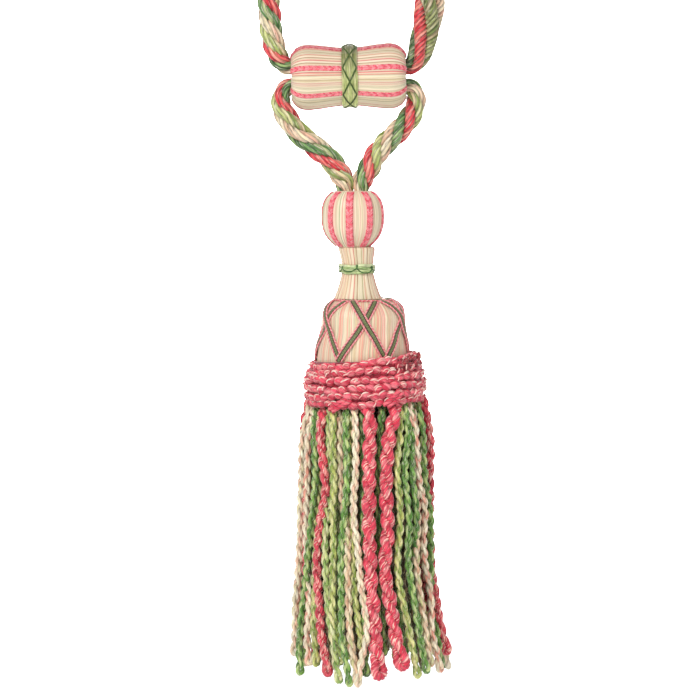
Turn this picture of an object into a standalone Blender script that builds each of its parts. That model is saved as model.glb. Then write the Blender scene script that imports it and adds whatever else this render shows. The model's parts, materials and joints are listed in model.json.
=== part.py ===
"""Curtain tieback tassel: a twisted rope that runs twice through a sliding barrel and ends in a ball, neck, dome, ruff and bullion skirt.

The frame: X to the right, Y away from the viewer, Z up. The origin is where a hook bears, inside the top of the rope loop.
Front-view places are written on a layout grid: u runs right and v runs down, in steps of GRID. u 350 is the plane x = 0,
and v 0 is the level LOOP_RISE below the top of the loop's centreline.
"""

import math

import bmesh
import bpy
from mathutils import Matrix, Vector

# ---------------------------------------------------------------- driving sizes
MM = 0.001
GRID = 0.55 * MM  # one step of the layout grid
ROPE_R = 6.3 * MM  # the rope's radius where nothing squeezes it
LOOP_RISE = 305 * MM  # from the grid's v 0 up to the top of the loop's centreline
LOOP_BEND = 25 * MM  # radius of the loop's top bend
GAP = 0.3 * MM  # between one piece and the next

BARREL_U, BARREL_V = 348.6, 76.7  # barrel centre on the grid
BARREL_HALF = 31.3 * MM  # half its length
BORE_R = 10.35 * MM
MOUTH_R = 11.3 * MM
PASS_OFF = 4.9 * MM  # each rope pass's distance from the bore's axis
BARREL_GIMPS = 7
BARREL_GIMP_START = -67.4  # degrees from the viewer's side, positive downward
GIMP_W, GIMP_T = 3.2 * MM, 0.9 * MM
BAND_HALF = 4.15 * MM  # half the width of the barrel's middle band

BALL_U = 353.1
BALL_GIMPS = 9
BALL_GIMP_START = -87.0  # degrees from the viewer's side, positive to the right
NECK_U = 357.0
DOME_U = 363.2
LATTICE_W, LATTICE_T = 5.0 * MM, 0.8 * MM
LATTICE_SPAN = 60.0  # degrees that each lattice band turns through on its way down
RUFF_U, RUFF_V, RUFF_TILT = 364.6, 380.5, 3.0

# ---------------------------------------------------------------- short tables
# barrel outline: (distance from the middle in grid steps, radius in grid steps); it is the same both ways
BARREL_OUTLINE = (
    (0.0, 27.3),
    (8.2, 27.3),
    (9.4, 29.4),
    (31.0, 31.8),
    (43.0, 32.4),
    (51.5, 29.4),
    (56.9, 22.8),
)
# turned outlines below the barrel: (v, radius in grid steps)
BALL_OUTLINE = (
    (191.0, 18.6),
    (194.0, 23.0),
    (199.0, 27.4),
    (207.0, 30.3),
    (217.0, 31.0),
    (226.0, 30.2),
    (234.0, 27.4),
    (241.0, 22.3),
    (247.3, 14.9),
)
NECK_OUTLINE = (
    (247.9, 17.8),
    (250.0, 18.2),
    (256.0, 16.4),
    (262.5, 15.2),
    (264.0, 14.2),
    (272.5, 14.2),
    (274.0, 16.0),
    (282.0, 17.2),
    (290.0, 19.6),
    (298.0, 22.7),
)
DOME_OUTLINE = (
    (298.6, 24.0),
    (300.4, 30.0),
    (304.5, 34.6),
    (309.0, 38.0),
    (315.0, 40.4),
    (323.0, 42.0),
    (331.0, 43.0),
    (338.0, 44.5),
    (347.0, 45.6),
    (357.0, 46.3),
    (372.0, 46.6),
)
SPIGOT_R, SPIGOT_V = 17.4 * MM, 408.0  # the dome's stem, which the skirt's headings wrap
# ruff rows, each one turn of chunky cord: (v of the row's middle, its outermost radius in mm)
RUFF_ROWS = (
    (361.0, 30.9),
    (368.6, 32.6),
    (376.3, 33.9),
    (384.0, 34.5),
    (391.8, 34.3),
    (399.4, 33.2),
)
RUFF_DIP, RUFF_HALF = 1.2 * MM, 1.9 * MM  # how deep the valley between two rows is, and half a row's height
# skirt: distance of a cord's centreline from the skirt's axis, and where the axis is: (v, outer mm, inner mm, axis u)
SKIRT_STATIONS = (
    (396.0, 26.35, 21.5, 365.4),
    (404.0, 27.6, 21.7, 365.7),
    (412.0, 31.0, 22.5, 366.0),
    (424.0, 33.6, 24.9, 366.1),
    (480.0, 34.9, 27.0, 365.8),
    (560.0, 35.8, 28.2, 364.6),
    (610.0, 38.4, 29.4, 366.6),
    (660.0, 41.3, 31.0, 372.0),
    (700.0, 43.0, 32.0, 375.0),
)
THIN, MEDIUM, THICK = 2.25 * MM, 2.75 * MM, 4.1 * MM  # cord radii
# the skirt's outer cords that face the viewer: (angle at v 480, angle at the end, v of the end, radius), left to right
FRONT_CORDS = (
    (-80.0, -84.0, 660.0, THIN),
    (-66.5, -74.0, 672.0, THIN),
    (-53.6, -63.0, 677.0, THIN),
    (-40.6, -38.5, 675.0, MEDIUM),
    (-30.0, -27.5, 681.0, THIN),
    (-19.2, -18.6, 684.0, THIN),
    (-10.3, -9.6, 683.0, THIN),
    (2.2, 5.2, 676.0, THICK),
    (19.0, 20.4, 668.0, THICK),
    (30.6, 34.2, 676.0, THIN),
    (39.0, 43.0, 671.0, THIN),
    (47.4, 51.0, 664.0, THIN),
    (56.4, 59.6, 672.0, THIN),
    (66.5, 68.6, 665.0, THIN),
    (79.0, 80.0, 656.0, MEDIUM),
)
# the outer cords behind go on in this rhythm of radii, evenly spread over the rest of the turn
BACK_RHYTHM = (THIN, THIN, MEDIUM, THIN, THIN, THIN, THICK, THICK, THIN, THIN, THIN, MEDIUM, THIN, THIN, THIN, THIN)
INNER_CORDS = 20


# ---------------------------------------------------------------- the layout grid
def x_of(u):
    return (u - 350.0) * GRID


def z_of(v):
    return ROPE_R - LOOP_RISE - v * GRID


def between(rows, v, column):
    """A table's column read at v, along straight lines between its rows."""
    for a, b in zip(rows, rows[1:]):
        if v <= b[0]:
            t = max(0.0, (v - a[0]) / (b[0] - a[0]))
            return a[column] + (b[column] - a[column]) * t
    return rows[-1][column]


# ---------------------------------------------------------------- making objects
def material(name, colour, roughness=0.6):
    made = bpy.data.materials.new(name)
    made.use_nodes = True
    shader = made.node_tree.nodes["Principled BSDF"]
    shader.inputs["Base Color"].default_value = (*colour, 1.0)
    shader.inputs["Roughness"].default_value = roughness
    shader.inputs["Metallic"].default_value = 0.0
    made.diffuse_color = (*colour, 1.0)
    return made


def mesh_object(name, points, faces, colour):
    mesh = bpy.data.meshes.new(name)
    mesh.from_pydata([tuple(p) for p in points], [], faces)
    work = bmesh.new()
    work.from_mesh(mesh)
    bmesh.ops.recalc_face_normals(work, faces=work.faces)
    work.to_mesh(mesh)
    work.free()
    mesh.shade_smooth()
    mesh.set_sharp_from_angle(angle=math.radians(50))
    mesh.materials.append(material(name, colour))
    made = bpy.data.objects.new(name, mesh)
    bpy.context.scene.collection.objects.link(made)
    return made


def ring_loft(rings, closed_end=True):
    """Faces between rings of equal size, given as lists of points; the ends are capped, or joined to each other."""
    size = len(rings[0])
    points = [p for ring in rings for p in ring]
    count = len(rings)
    faces = []
    for i in range(count - 1 if closed_end else count):
        j = (i + 1) % count
        for k in range(size):
            m = (k + 1) % size
            faces.append((i * size + k, i * size + m, j * size + m, j * size + k))
    if closed_end:
        faces.append(tuple(range(size)))
        faces.append(tuple((count - 1) * size + k for k in reversed(range(size))))
    return points, faces


def turned(name, section, sides, place, colour, ring):
    """A turned solid about its own Z. section is (radius, height) points; ring joins the last back to the first, round a hole."""
    rings = []
    for radius, height in section:
        rings.append(
            [
                place @ Vector((radius * math.cos(a), radius * math.sin(a), height))
                for a in (2 * math.pi * k / sides for k in range(sides))
            ]
        )
    return mesh_object(name, *ring_loft(rings, closed_end=not ring), colour)


def laid_strip(name, spots, width, thick, colour, lifts=None):
    """A flat length laid along spots, each (place, outward normal), GAP above the surface and its lift, with its upper corners rounded off."""
    rings = []
    for i, (place, out) in enumerate(spots):
        before, after = spots[max(i - 1, 0)][0], spots[min(i + 1, len(spots) - 1)][0]
        along = (after - before).normalized()
        side = along.cross(out).normalized()
        up = side.cross(along).normalized()
        low = GAP + (lifts[i] if lifts else 0.0)
        rings.append(
            [
                place + up * low - side * width / 2,
                place + up * low + side * width / 2,
                place + up * (low + thick) + side * width * 0.36,
                place + up * (low + thick) - side * width * 0.36,
            ]
        )
    return mesh_object(name, *ring_loft(rings), colour)


def outline_spots(rows, axis_u, angle, count, first=None, last=None):
    """Places and normals down a turned outline, at an angle that is one number or a function of the share of the way down."""
    first, last = rows[0][0] if first is None else first, rows[-1][0] if last is None else last
    spots = []
    for i in range(count):
        share = i / (count - 1)
        v = first + (last - first) * share
        turn = math.radians(angle(share) if callable(angle) else angle)
        radius = between(rows, v, 1) * GRID
        slope = (between(rows, v + 1.5, 1) - between(rows, v - 1.5, 1)) / 3.0
        out = Vector((math.sin(turn), -math.cos(turn), slope)).normalized()
        spots.append(
            (
                Vector((x_of(axis_u) + radius * math.sin(turn), -radius * math.cos(turn), z_of(v))),
                out,
            )
        )
    return spots


def row_spots(rows, axis_u, turn_deg, trim=0.0):
    """Places and normals at a turned outline's own rows, so that what is laid there follows each of its facets. It stops trim short of the end."""
    turn = math.radians(turn_deg)
    used = rows[:-1]
    used = (*used, (rows[-1][0] - trim, between(rows, rows[-1][0] - trim, 1))) if trim else rows
    spots = []
    for i, (v, radius) in enumerate(used):
        a, b = used[max(i - 1, 0)], used[min(i + 1, len(used) - 1)]
        slope = (b[1] - a[1]) / (b[0] - a[0])
        out = Vector((math.sin(turn), -math.cos(turn), slope)).normalized()
        r = radius * GRID
        spots.append((Vector((x_of(axis_u) + r * math.sin(turn), -r * math.cos(turn), z_of(v))), out))
    return spots


# ---------------------------------------------------------------- the rope
def pass_through(sign):
    """One rope pass through the bore, left mouth to right: low to high on the viewer's side for sign -1, high to low behind for +1."""
    rows = []
    for k in range(5):
        share = k / 4
        turn = math.radians(-90 + 180 * share)
        reach = PASS_OFF * (1.05 if k in (0, 4) else 0.97)
        x = x_of(BARREL_U) + (2 * share - 1) * (BARREL_HALF - 1 * MM)
        rows.append(
            (
                x,
                sign * reach * math.cos(turn),
                z_of(BARREL_V) - sign * reach * math.sin(turn),
                0.72 if k in (0, 4) else 0.7,
            )
        )
    return rows


def on_grid(*rows):
    return [(x_of(u), 0.0, z_of(v), size) for u, v, size in rows]


def loop_side(sign, heights):
    """One side of the loop: (height above v 0, distance out), both in mm; sign +1 is the right side."""
    return [(sign * out * MM, 0.0, z_of(0) + up * MM, size) for up, out, size in heights]


LOOP_ARM = ((30, 45.6, 1.1), (78, 45.8, 1.0), (130, 43.8, 1.0), (178, 39.8, 1.0), (220, 34.4, 1.0), (256, 28.4, 1.0))


def rope_route():
    """The rope's own points, (x, y, z, share of its full radius), from one end in the ball's socket to the other."""
    top = [
        (LOOP_BEND * math.cos(a), 0.0, z_of(0) + LOOP_RISE - LOOP_BEND + LOOP_BEND * math.sin(a), 1.0)
        for a in (math.radians(k * 45) for k in range(5))
    ]
    return (
        on_grid((345.4, 213, 0.66), (345.4, 200, 0.66), (345.3, 189, 0.66), (343.8, 180, 0.76), (337.6, 170, 0.96))
        + on_grid((329, 158.5, 1.0), (317, 148, 1.0), (303, 137, 1.0), (291.2, 124, 1.0), (282.8, 110, 0.93))
        + on_grid((281.2, 99, 0.84), (285.2, 89.6, 0.76))
        + pass_through(-1)
        + on_grid((411.0, 67.0, 0.8), (417.0, 59.0, 0.98), (421.6, 46.0, 1.12), (425.6, 30, 1.18), (428.2, 15, 1.18), (430, 0, 1.16))
        + loop_side(1, LOOP_ARM)
        + top
        + list(reversed(loop_side(-1, LOOP_ARM)))[:-1]
        + loop_side(-1, ((30, 45.4, 1.0),))
        + on_grid((269.4, 0, 1.0), (270.4, 20, 1.0), (273.0, 40, 1.0), (277.6, 55, 0.93), (285.0, 65.6, 0.8))
        + pass_through(1)
        + on_grid((412.4, 88.6, 0.76), (415.9, 98, 0.84), (414.2, 109, 0.93), (407.8, 120.5, 1.0), (397.6, 132, 1.0))
        + on_grid((386, 143.5, 1.0), (376, 155, 1.0), (369.0, 168, 0.96), (362.8, 180, 0.76), (361.3, 189, 0.66))
        + on_grid((361.3, 200, 0.66), (361.3, 213, 0.66))
    )


def smooth(rows, per_span):
    """Points on a smooth curve through rows of numbers, per_span of them for each two rows."""
    made = []
    for i in range(len(rows) - 1):
        a, b, c, d = (rows[max(i - 1, 0)], rows[i], rows[i + 1], rows[min(i + 2, len(rows) - 1)])
        for k in range(per_span):
            t = k / per_span
            made.append(
                tuple(
                    0.5
                    * (
                        2 * q
                        + (r - p) * t
                        + (2 * p - 5 * q + 4 * r - s) * t * t
                        + (3 * q - p - 3 * r + s) * t**3
                    )
                    for p, q, r, s in zip(a, b, c, d)
                )
            )
    made.append(tuple(rows[-1]))
    return made


def thin_out(points, step):
    """Drops points that follow the last kept one too closely where the route is nearly straight."""
    kept = [points[0]]
    for i in range(1, len(points) - 1):
        here, last, after = Vector(points[i][:3]), Vector(kept[-1][:3]), Vector(points[i + 1][:3])
        turn = (here - last).angle(after - here, 0.0)
        if (here - last).length > step or turn > math.radians(17) or abs(points[i][3] - kept[-1][3]) > 0.05:
            kept.append(points[i])
    kept.append(points[-1])
    return kept


def make_rope():
    points = thin_out(smooth(rope_route(), 3), 17 * MM)
    curve = bpy.data.curves.new("rope", "CURVE")
    curve.dimensions = "3D"
    curve.bevel_depth = ROPE_R
    curve.bevel_resolution = 2
    curve.use_fill_caps = True
    spline = curve.splines.new("POLY")
    spline.points.add(len(points) - 1)
    for spot, (x, y, z, size) in zip(spline.points, points):
        spot.co = (x, y, z, 1.0)
        spot.radius = size
    curve.materials.append(material("rope", (0.72, 0.45, 0.36)))
    made = bpy.data.objects.new("rope", curve)
    bpy.context.scene.collection.objects.link(made)


# ---------------------------------------------------------------- the barrel
def barrel_rows():
    """The barrel's outline from end to end: (distance from its middle, radius), in metres."""
    right = [(s * GRID, r * GRID) for s, r in BARREL_OUTLINE]
    return [(-s, r) for s, r in reversed(right[1:])] + right


def make_barrel():
    rows = barrel_rows()
    half = rows[-1][0]
    inside = [(half, MOUTH_R), (half - 7 * MM, BORE_R), (7 * MM - half, BORE_R), (-half, MOUTH_R)]
    place = Matrix.Translation((x_of(BARREL_U), 0.0, z_of(BARREL_V))) @ Matrix.Rotation(math.radians(90), 4, "Y")
    section = [(r, s) for s, r in rows] + [(r, s) for s, r in inside]
    turned("barrel", section, 20, place, (0.93, 0.85, 0.70), ring=True)
    # each gimp stops just short of the end faces, where the rope presses
    for k in range(BARREL_GIMPS):
        turn = math.radians(BARREL_GIMP_START + 360.0 / BARREL_GIMPS * k)
        out = Vector((0.0, -math.cos(turn), -math.sin(turn)))
        spots = []
        for i, (s, r) in list(enumerate(rows))[1:-1]:
            a, b = rows[i - 1], rows[i + 1]
            slope = (b[1] - a[1]) / (b[0] - a[0])
            normal = (out - Vector((slope, 0.0, 0.0))).normalized()
            spots.append((Vector((x_of(BARREL_U) + s, 0.0, z_of(BARREL_V))) + out * r, normal))
        laid_strip(f"barrel_gimp_{k + 1}", spots, GIMP_W, GIMP_T, (0.83, 0.25, 0.32), [0.15 * MM] * len(spots))
    low, high = 27.3 * GRID + 2 * GAP + GIMP_T + 0.55 * MM, 31.9 * GRID
    ring = [(low, -BAND_HALF), (high - 0.3 * MM, -BAND_HALF), (high, -BAND_HALF * 0.6), (high, BAND_HALF * 0.6), (high - 0.3 * MM, BAND_HALF), (low, BAND_HALF)]
    turned("barrel_band", ring, 20, place, (0.45, 0.55, 0.25), ring=True)


# ---------------------------------------------------------------- ball, neck and dome
def upright(u, v):
    return Matrix.Translation((x_of(u), 0.0, z_of(v)))


def make_ball():
    top, bottom = BALL_OUTLINE[0][0], BALL_OUTLINE[-1][0]
    section = [(r * GRID, (top - v) * GRID) for v, r in BALL_OUTLINE]
    ball = turned("ball", section, 22, upright(BALL_U, top), (0.93, 0.85, 0.70), ring=False)
    half, radius, depth = 4.6 * MM, 4.75 * MM, 13 * MM
    outline = []
    for k in range(9):
        a = math.radians(-90 + 180 * k / 8)
        outline.append((half + radius * math.cos(a), radius * math.sin(a)))
    for k in range(9):
        a = math.radians(90 + 180 * k / 8)
        outline.append((-half + radius * math.cos(a), radius * math.sin(a)))
    middle = x_of(353.3)
    rings = [[Vector((middle + x, y, z_of(top) + z)) for x, y in outline] for z in (-depth, 4 * MM)]
    cutter = mesh_object("ball_socket", *ring_loft(rings), (0.5, 0.5, 0.5))
    cutter.hide_render = True
    cutter.display_type = "WIRE"
    cut = ball.modifiers.new("socket", "BOOLEAN")
    cut.operation = "DIFFERENCE"
    cut.solver = "EXACT"
    cut.object = cutter
    for k in range(BALL_GIMPS):
        spots = row_spots(BALL_OUTLINE, BALL_U, BALL_GIMP_START + 360.0 / BALL_GIMPS * k, 3.6)
        laid_strip(f"ball_gimp_{k + 1}", spots, 3.3 * MM, GIMP_T, (0.83, 0.25, 0.32), [0.02 * MM] * len(spots))
    return bottom


def make_neck():
    top = NECK_OUTLINE[0][0]
    section = [(r * GRID, (top - v) * GRID) for v, r in NECK_OUTLINE]
    turned("neck", section, 18, upright(NECK_U, top), (0.93, 0.85, 0.70), ring=False)
    inner, outer, half = 14.2 * GRID + GAP + 0.08 * MM, 17.9 * GRID, 2.2 * MM
    ring = [(inner, -half), (outer - 0.7 * MM, -half), (outer, -half * 0.4), (outer, half * 0.4), (outer - 0.7 * MM, half), (inner, half)]
    turned("neck_binding", ring, 18, upright(NECK_U, 268.25), (0.45, 0.55, 0.25), ring=True)


def make_dome():
    top = DOME_OUTLINE[0][0]
    section = [(r * GRID, (top - v) * GRID) for v, r in DOME_OUTLINE]
    section += [(SPIGOT_R, (top - DOME_OUTLINE[-1][0]) * GRID), (SPIGOT_R, (top - SPIGOT_V) * GRID)]
    turned("dome", section, 24, upright(DOME_U, top), (0.93, 0.85, 0.70), ring=False)
    first, last, count = 301.5, 352.0, 9
    layer = LATTICE_T + GAP + 0.35 * MM
    for lean, word in ((1, "falling"), (-1, "rising")):
        for k in range(6):
            # the lower ends meet at 30 degrees either side of the viewer and every 60 degrees round
            end = 30.0 + 60.0 * k
            spots = outline_spots(
                DOME_OUTLINE, DOME_U, lambda s, e=end, w=lean: e - w * LATTICE_SPAN * (1 - s), count, first, last
            )
            # a falling band lies over where they cross in the middle, and under the rising one's end at the bottom
            lifts = []
            for i in range(count):
                s = i / (count - 1)
                fade = min(1.0, max(0.0, (s - 0.62) / 0.22))
                lifts.append(layer * (1 - fade if lean == 1 else fade) + 0.2 * MM)
            laid_strip(f"lattice_{word}_{k + 1}", spots, LATTICE_W, LATTICE_T, (0.33, 0.40, 0.20), lifts)


# ---------------------------------------------------------------- ruff and skirt
def tilted():
    return Matrix.Translation((x_of(RUFF_U), 0.0, z_of(RUFF_V))) @ Matrix.Rotation(math.radians(-RUFF_TILT), 4, "Y")


def height(v):
    return (RUFF_V - v) * GRID


def make_ruff():
    section = [((RUFF_ROWS[0][1] * MM - RUFF_DIP), height(RUFF_ROWS[0][0]) + RUFF_HALF)]
    for (v, out), (next_v, next_out) in zip(RUFF_ROWS, RUFF_ROWS[1:]):
        section.append((out * MM, height(v)))
        section.append((min(out, next_out) * MM - RUFF_DIP, height((v + next_v) / 2)))
    section.append((RUFF_ROWS[-1][1] * MM, height(RUFF_ROWS[-1][0])))
    section += [(31.3 * MM, height(403.6)), (30.9 * MM, height(403.2)), (29.3 * MM, height(397.0)), (29.1 * MM, height(374.5))]
    section += [(27.3 * MM, height(372.5)), (27.3 * MM, height(361.0)), (28.4 * MM, height(357.6))]
    turned("ruff", section, 24, tilted(), (0.80, 0.18, 0.25), ring=True)


def skirt_point(v, angle, outer):
    """A point of a cord's centreline at level v and angle from the viewer's side, which the tilted heading lifts on the right."""
    column = 1 if outer else 2
    reach = between(SKIRT_STATIONS, v, column) * MM
    turn = math.radians(angle)
    x, y = reach * math.sin(turn), -reach * math.cos(turn)
    hold = min(1.0, max(0.0, (480.0 - v) / 70.0))
    lift = x * math.tan(math.radians(RUFF_TILT)) * hold
    return Vector((x_of(between(SKIRT_STATIONS, v, 3)) + x, y, z_of(v) + lift))


def outer_cords():
    """Every outer cord: (angle at v 480, angle at its end, v of its end, radius)."""
    rows = list(FRONT_CORDS)
    start, stop = FRONT_CORDS[-1][0], 360.0 + FRONT_CORDS[0][0]
    weights = [(a + b) / 2 for a, b in zip((MEDIUM,) + BACK_RHYTHM, BACK_RHYTHM + (THIN,))]
    turn = start
    for k, radius in enumerate(BACK_RHYTHM):
        turn += (stop - start) * weights[k] / sum(weights)
        rows.append((turn, turn + 1.5 * math.sin(2.1 * k), 668.0 + 8.0 * math.sin(1.7 * k + 0.6), radius))
    return rows


def inner_cords():
    rows = []
    for k in range(INNER_CORDS):
        turn = 360.0 / INNER_CORDS * k + 5.0 + 1.5 * math.sin(2.7 * k)
        rows.append((turn, turn + 2.0 * math.sin(1.9 * k), 662.0 + 9.0 * math.sin(2.3 * k + 1.0), THIN))
    return rows


def comb(name, cords, outer, heading, levels, colour):
    """A heading ring with one hanging tooth for each cord."""
    teeth_points, teeth_faces = [], []
    for angle, end_angle, end_v, radius in cords:
        stations = [v for v in levels if v < end_v - 20] + [end_v]
        rings = []
        for v in stations:
            share = max(0.0, (v - 480.0) / (end_v - 480.0))
            centre = skirt_point(v, angle + (end_angle - angle) * share**1.5, outer)
            swell = min(1.0, max(0.0, (v - 402.0) / 20.0))
            size = 1.75 * MM + (radius - 1.75 * MM) * swell
            rings.append(
                [
                    centre + Vector((size * math.cos(a), size * math.sin(a), 0.0))
                    for a in (math.radians(72 * k + 90 - angle) for k in range(5))
                ]
            )
        points, faces = ring_loft(rings)
        base = len(teeth_points)
        teeth_points += points
        teeth_faces += [tuple(base + i for i in face) for face in faces]
    teeth = mesh_object(name + "_teeth", teeth_points, teeth_faces, colour)
    teeth.hide_render = True
    teeth.display_type = "WIRE"
    low, high = heading
    section = [(high * MM, height(376.5)), (high * MM, height(402.0)), (low * MM, height(402.0)), (low * MM, height(376.5))]
    made = turned(name, section, 24, tilted(), colour, ring=True)
    join = made.modifiers.new("teeth", "BOOLEAN")
    join.operation = "UNION"
    join.solver = "EXACT"
    join.object = teeth


def main():
    for old in list(bpy.data.objects):
        bpy.data.objects.remove(old, do_unlink=True)
    make_rope()
    make_barrel()
    make_ball()
    make_neck()
    make_dome()
    make_ruff()
    comb("skirt_outer", outer_cords(), True, (24.2, 28.6), (396.0, 408.0, 424.0, 560.0), (0.55, 0.55, 0.32))
    comb("skirt_inner", inner_cords(), False, (19.3, 23.5), (398.0, 407.0, 424.0, 560.0), (0.50, 0.45, 0.30))


main()
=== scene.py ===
"""The looks of a curtain tieback tassel: twisted rope, thread-covered barrel, ball, neck and dome, gimps, ruff and bullion skirt.

Front-view places are written on the same layout grid as the part: u runs right and v runs down, GRID metres a step.
"""

import json
import math

import bpy
import numpy as np
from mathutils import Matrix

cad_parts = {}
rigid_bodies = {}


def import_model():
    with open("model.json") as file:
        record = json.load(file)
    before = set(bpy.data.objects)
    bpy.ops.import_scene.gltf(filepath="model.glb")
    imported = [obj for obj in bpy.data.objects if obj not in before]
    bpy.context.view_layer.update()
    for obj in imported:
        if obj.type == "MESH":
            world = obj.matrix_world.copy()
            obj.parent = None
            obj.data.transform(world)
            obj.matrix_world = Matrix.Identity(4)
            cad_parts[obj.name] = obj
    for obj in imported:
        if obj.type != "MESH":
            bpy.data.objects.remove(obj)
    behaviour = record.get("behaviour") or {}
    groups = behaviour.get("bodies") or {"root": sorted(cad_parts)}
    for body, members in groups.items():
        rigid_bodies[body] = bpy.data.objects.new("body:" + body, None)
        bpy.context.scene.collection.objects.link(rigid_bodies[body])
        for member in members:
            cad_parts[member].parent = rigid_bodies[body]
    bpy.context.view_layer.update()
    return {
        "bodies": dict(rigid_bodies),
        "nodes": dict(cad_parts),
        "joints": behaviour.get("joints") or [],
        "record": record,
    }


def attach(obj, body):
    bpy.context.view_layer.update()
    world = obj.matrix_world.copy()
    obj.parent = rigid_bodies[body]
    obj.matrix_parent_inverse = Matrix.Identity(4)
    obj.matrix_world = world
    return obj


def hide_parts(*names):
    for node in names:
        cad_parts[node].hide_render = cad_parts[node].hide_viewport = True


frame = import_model()
RNG = np.random.default_rng(11)

# ---------------------------------------------------------------- sizes, as in the part
MM = 0.001
GRID = 0.55 * MM
ROPE_R = 6.3 * MM
LOOP_RISE = 305 * MM
LOOP_BEND = 25 * MM
BARREL_U, BARREL_V = 348.6, 76.7
BARREL_HALF = 31.3 * MM
BORE_R, MOUTH_R = 10.35 * MM, 11.3 * MM
PASS_OFF = 4.9 * MM
BARREL_GIMPS, BARREL_GIMP_START = 7, -67.4
BALL_U, BALL_GIMPS, BALL_GIMP_START = 353.1, 9, -87.0
NECK_U, DOME_U = 357.0, 363.2
LATTICE_SPAN = 60.0
RUFF_U, RUFF_V, RUFF_TILT = 364.6, 380.5, 3.0
VIEW_UP = 4.0  # degrees that the camera looks down from

BARREL_OUTLINE = ((0.0, 27.3), (8.2, 27.3), (9.4, 29.4), (31.0, 31.8), (43.0, 32.4), (51.5, 29.4), (56.9, 22.8))
BALL_OUTLINE = (
    (191.0, 18.6),
    (194.0, 23.0),
    (199.0, 27.4),
    (207.0, 30.3),
    (217.0, 31.0),
    (226.0, 30.2),
    (234.0, 27.4),
    (241.0, 22.3),
    (247.3, 14.9),
)
NECK_OUTLINE = (
    (247.9, 17.8),
    (250.0, 18.2),
    (256.0, 16.4),
    (262.5, 15.2),
    (268.0, 14.3),
    (274.0, 16.0),
    (282.0, 17.2),
    (290.0, 19.6),
    (298.0, 22.7),
)
DOME_OUTLINE = (
    (298.6, 24.0),
    (300.4, 30.0),
    (304.5, 34.6),
    (309.0, 38.0),
    (315.0, 40.4),
    (323.0, 42.0),
    (331.0, 43.0),
    (338.0, 44.5),
    (347.0, 45.6),
    (357.0, 46.3),
    (372.0, 46.6),
)
# ruff rows: (v of the row's middle, its outermost radius in mm)
RUFF_ROWS = ((361.0, 30.9), (368.6, 32.6), (376.3, 33.9), (384.0, 34.5), (391.8, 34.3), (399.4, 33.2))
# skirt: (v, outer mm, inner mm, axis u)
SKIRT_STATIONS = (
    (396.0, 26.35, 21.5, 365.4),
    (404.0, 27.6, 21.7, 365.7),
    (412.0, 31.0, 22.5, 366.0),
    (424.0, 33.6, 24.9, 366.1),
    (480.0, 34.9, 27.0, 365.8),
    (560.0, 35.8, 28.2, 364.6),
    (610.0, 38.4, 29.4, 366.6),
    (660.0, 41.3, 31.0, 372.0),
    (700.0, 43.0, 32.0, 375.0),
)


def x_of(u):
    return (u - 350.0) * GRID


def z_of(v):
    return ROPE_R - LOOP_RISE - v * GRID


def column(rows, v, k):
    """A table's column read at v, which may be an array."""
    table = np.array(rows, float)
    return np.interp(v, table[:, 0], table[:, k])


# ---------------------------------------------------------------- camera, which comes first
def make_camera():
    data = bpy.data.cameras.new("camera")
    camera = bpy.data.objects.new("camera", data)
    bpy.context.scene.collection.objects.link(camera)
    far, lift = 2.4, math.radians(VIEW_UP)
    middle = z_of(350.0)
    camera.location = (0.0, -far * math.cos(lift), middle + far * math.sin(lift))
    camera.rotation_euler = (math.radians(90.0) - lift, 0.0, 0.0)
    data.sensor_width = 36.0
    data.lens = 36.0 * far / (700.0 * GRID)
    data.clip_start, data.clip_end = 0.05, 50.0
    bpy.context.scene.camera = camera


# ---------------------------------------------------------------- curves and frames
def smooth(rows, per_span):
    """Points on a smooth curve through rows of numbers, per_span of them for each two rows."""
    rows = np.array(rows, float)
    count = len(rows)
    t = (np.arange(per_span) / per_span)[:, None]
    made = []
    for i in range(count - 1):
        p, q, r, s = rows[max(i - 1, 0)], rows[i], rows[i + 1], rows[min(i + 2, count - 1)]
        made.append(0.5 * (2 * q + (r - p) * t + (2 * p - 5 * q + 4 * r - s) * t**2 + (3 * q - p - 3 * r + s) * t**3))
    made.append(rows[-1:])
    return np.concatenate(made)


def run_of(points):
    """The distance along a line of points."""
    return np.concatenate([[0.0], np.cumsum(np.linalg.norm(np.diff(points[:, :3], axis=0), axis=1))])


def evenly(points, step):
    """The same line with its points a step apart; further columns go along."""
    run = run_of(points)
    count = max(3, int(round(run[-1] / step)) + 1)
    at = np.linspace(0.0, run[-1], count)
    return np.stack([np.interp(at, run, points[:, k]) for k in range(points.shape[1])], 1), at


def unit(a):
    return a / np.maximum(np.linalg.norm(a, axis=-1, keepdims=True), 1e-12)


def tangents(points, closed=False):
    if closed:
        return unit(np.roll(points, -1, 0) - np.roll(points, 1, 0))
    return unit(np.gradient(points, axis=0))


def square_to(vectors, along):
    return unit(vectors - along * (vectors * along).sum(-1, keepdims=True))


def carried_frame(points):
    """A frame that turns as little as it can along a line."""
    along = tangents(points)
    first = np.cross(along[0], (0.0, 0.0, 1.0) if abs(along[0][2]) < 0.8 else (1.0, 0.0, 0.0))
    side = unit(first)
    sides = [side]
    for t in along[1:]:
        side = unit(side - t * np.dot(side, t))
        sides.append(side)
    sides = np.array(sides)
    return along, sides, np.cross(along, sides)


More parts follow.
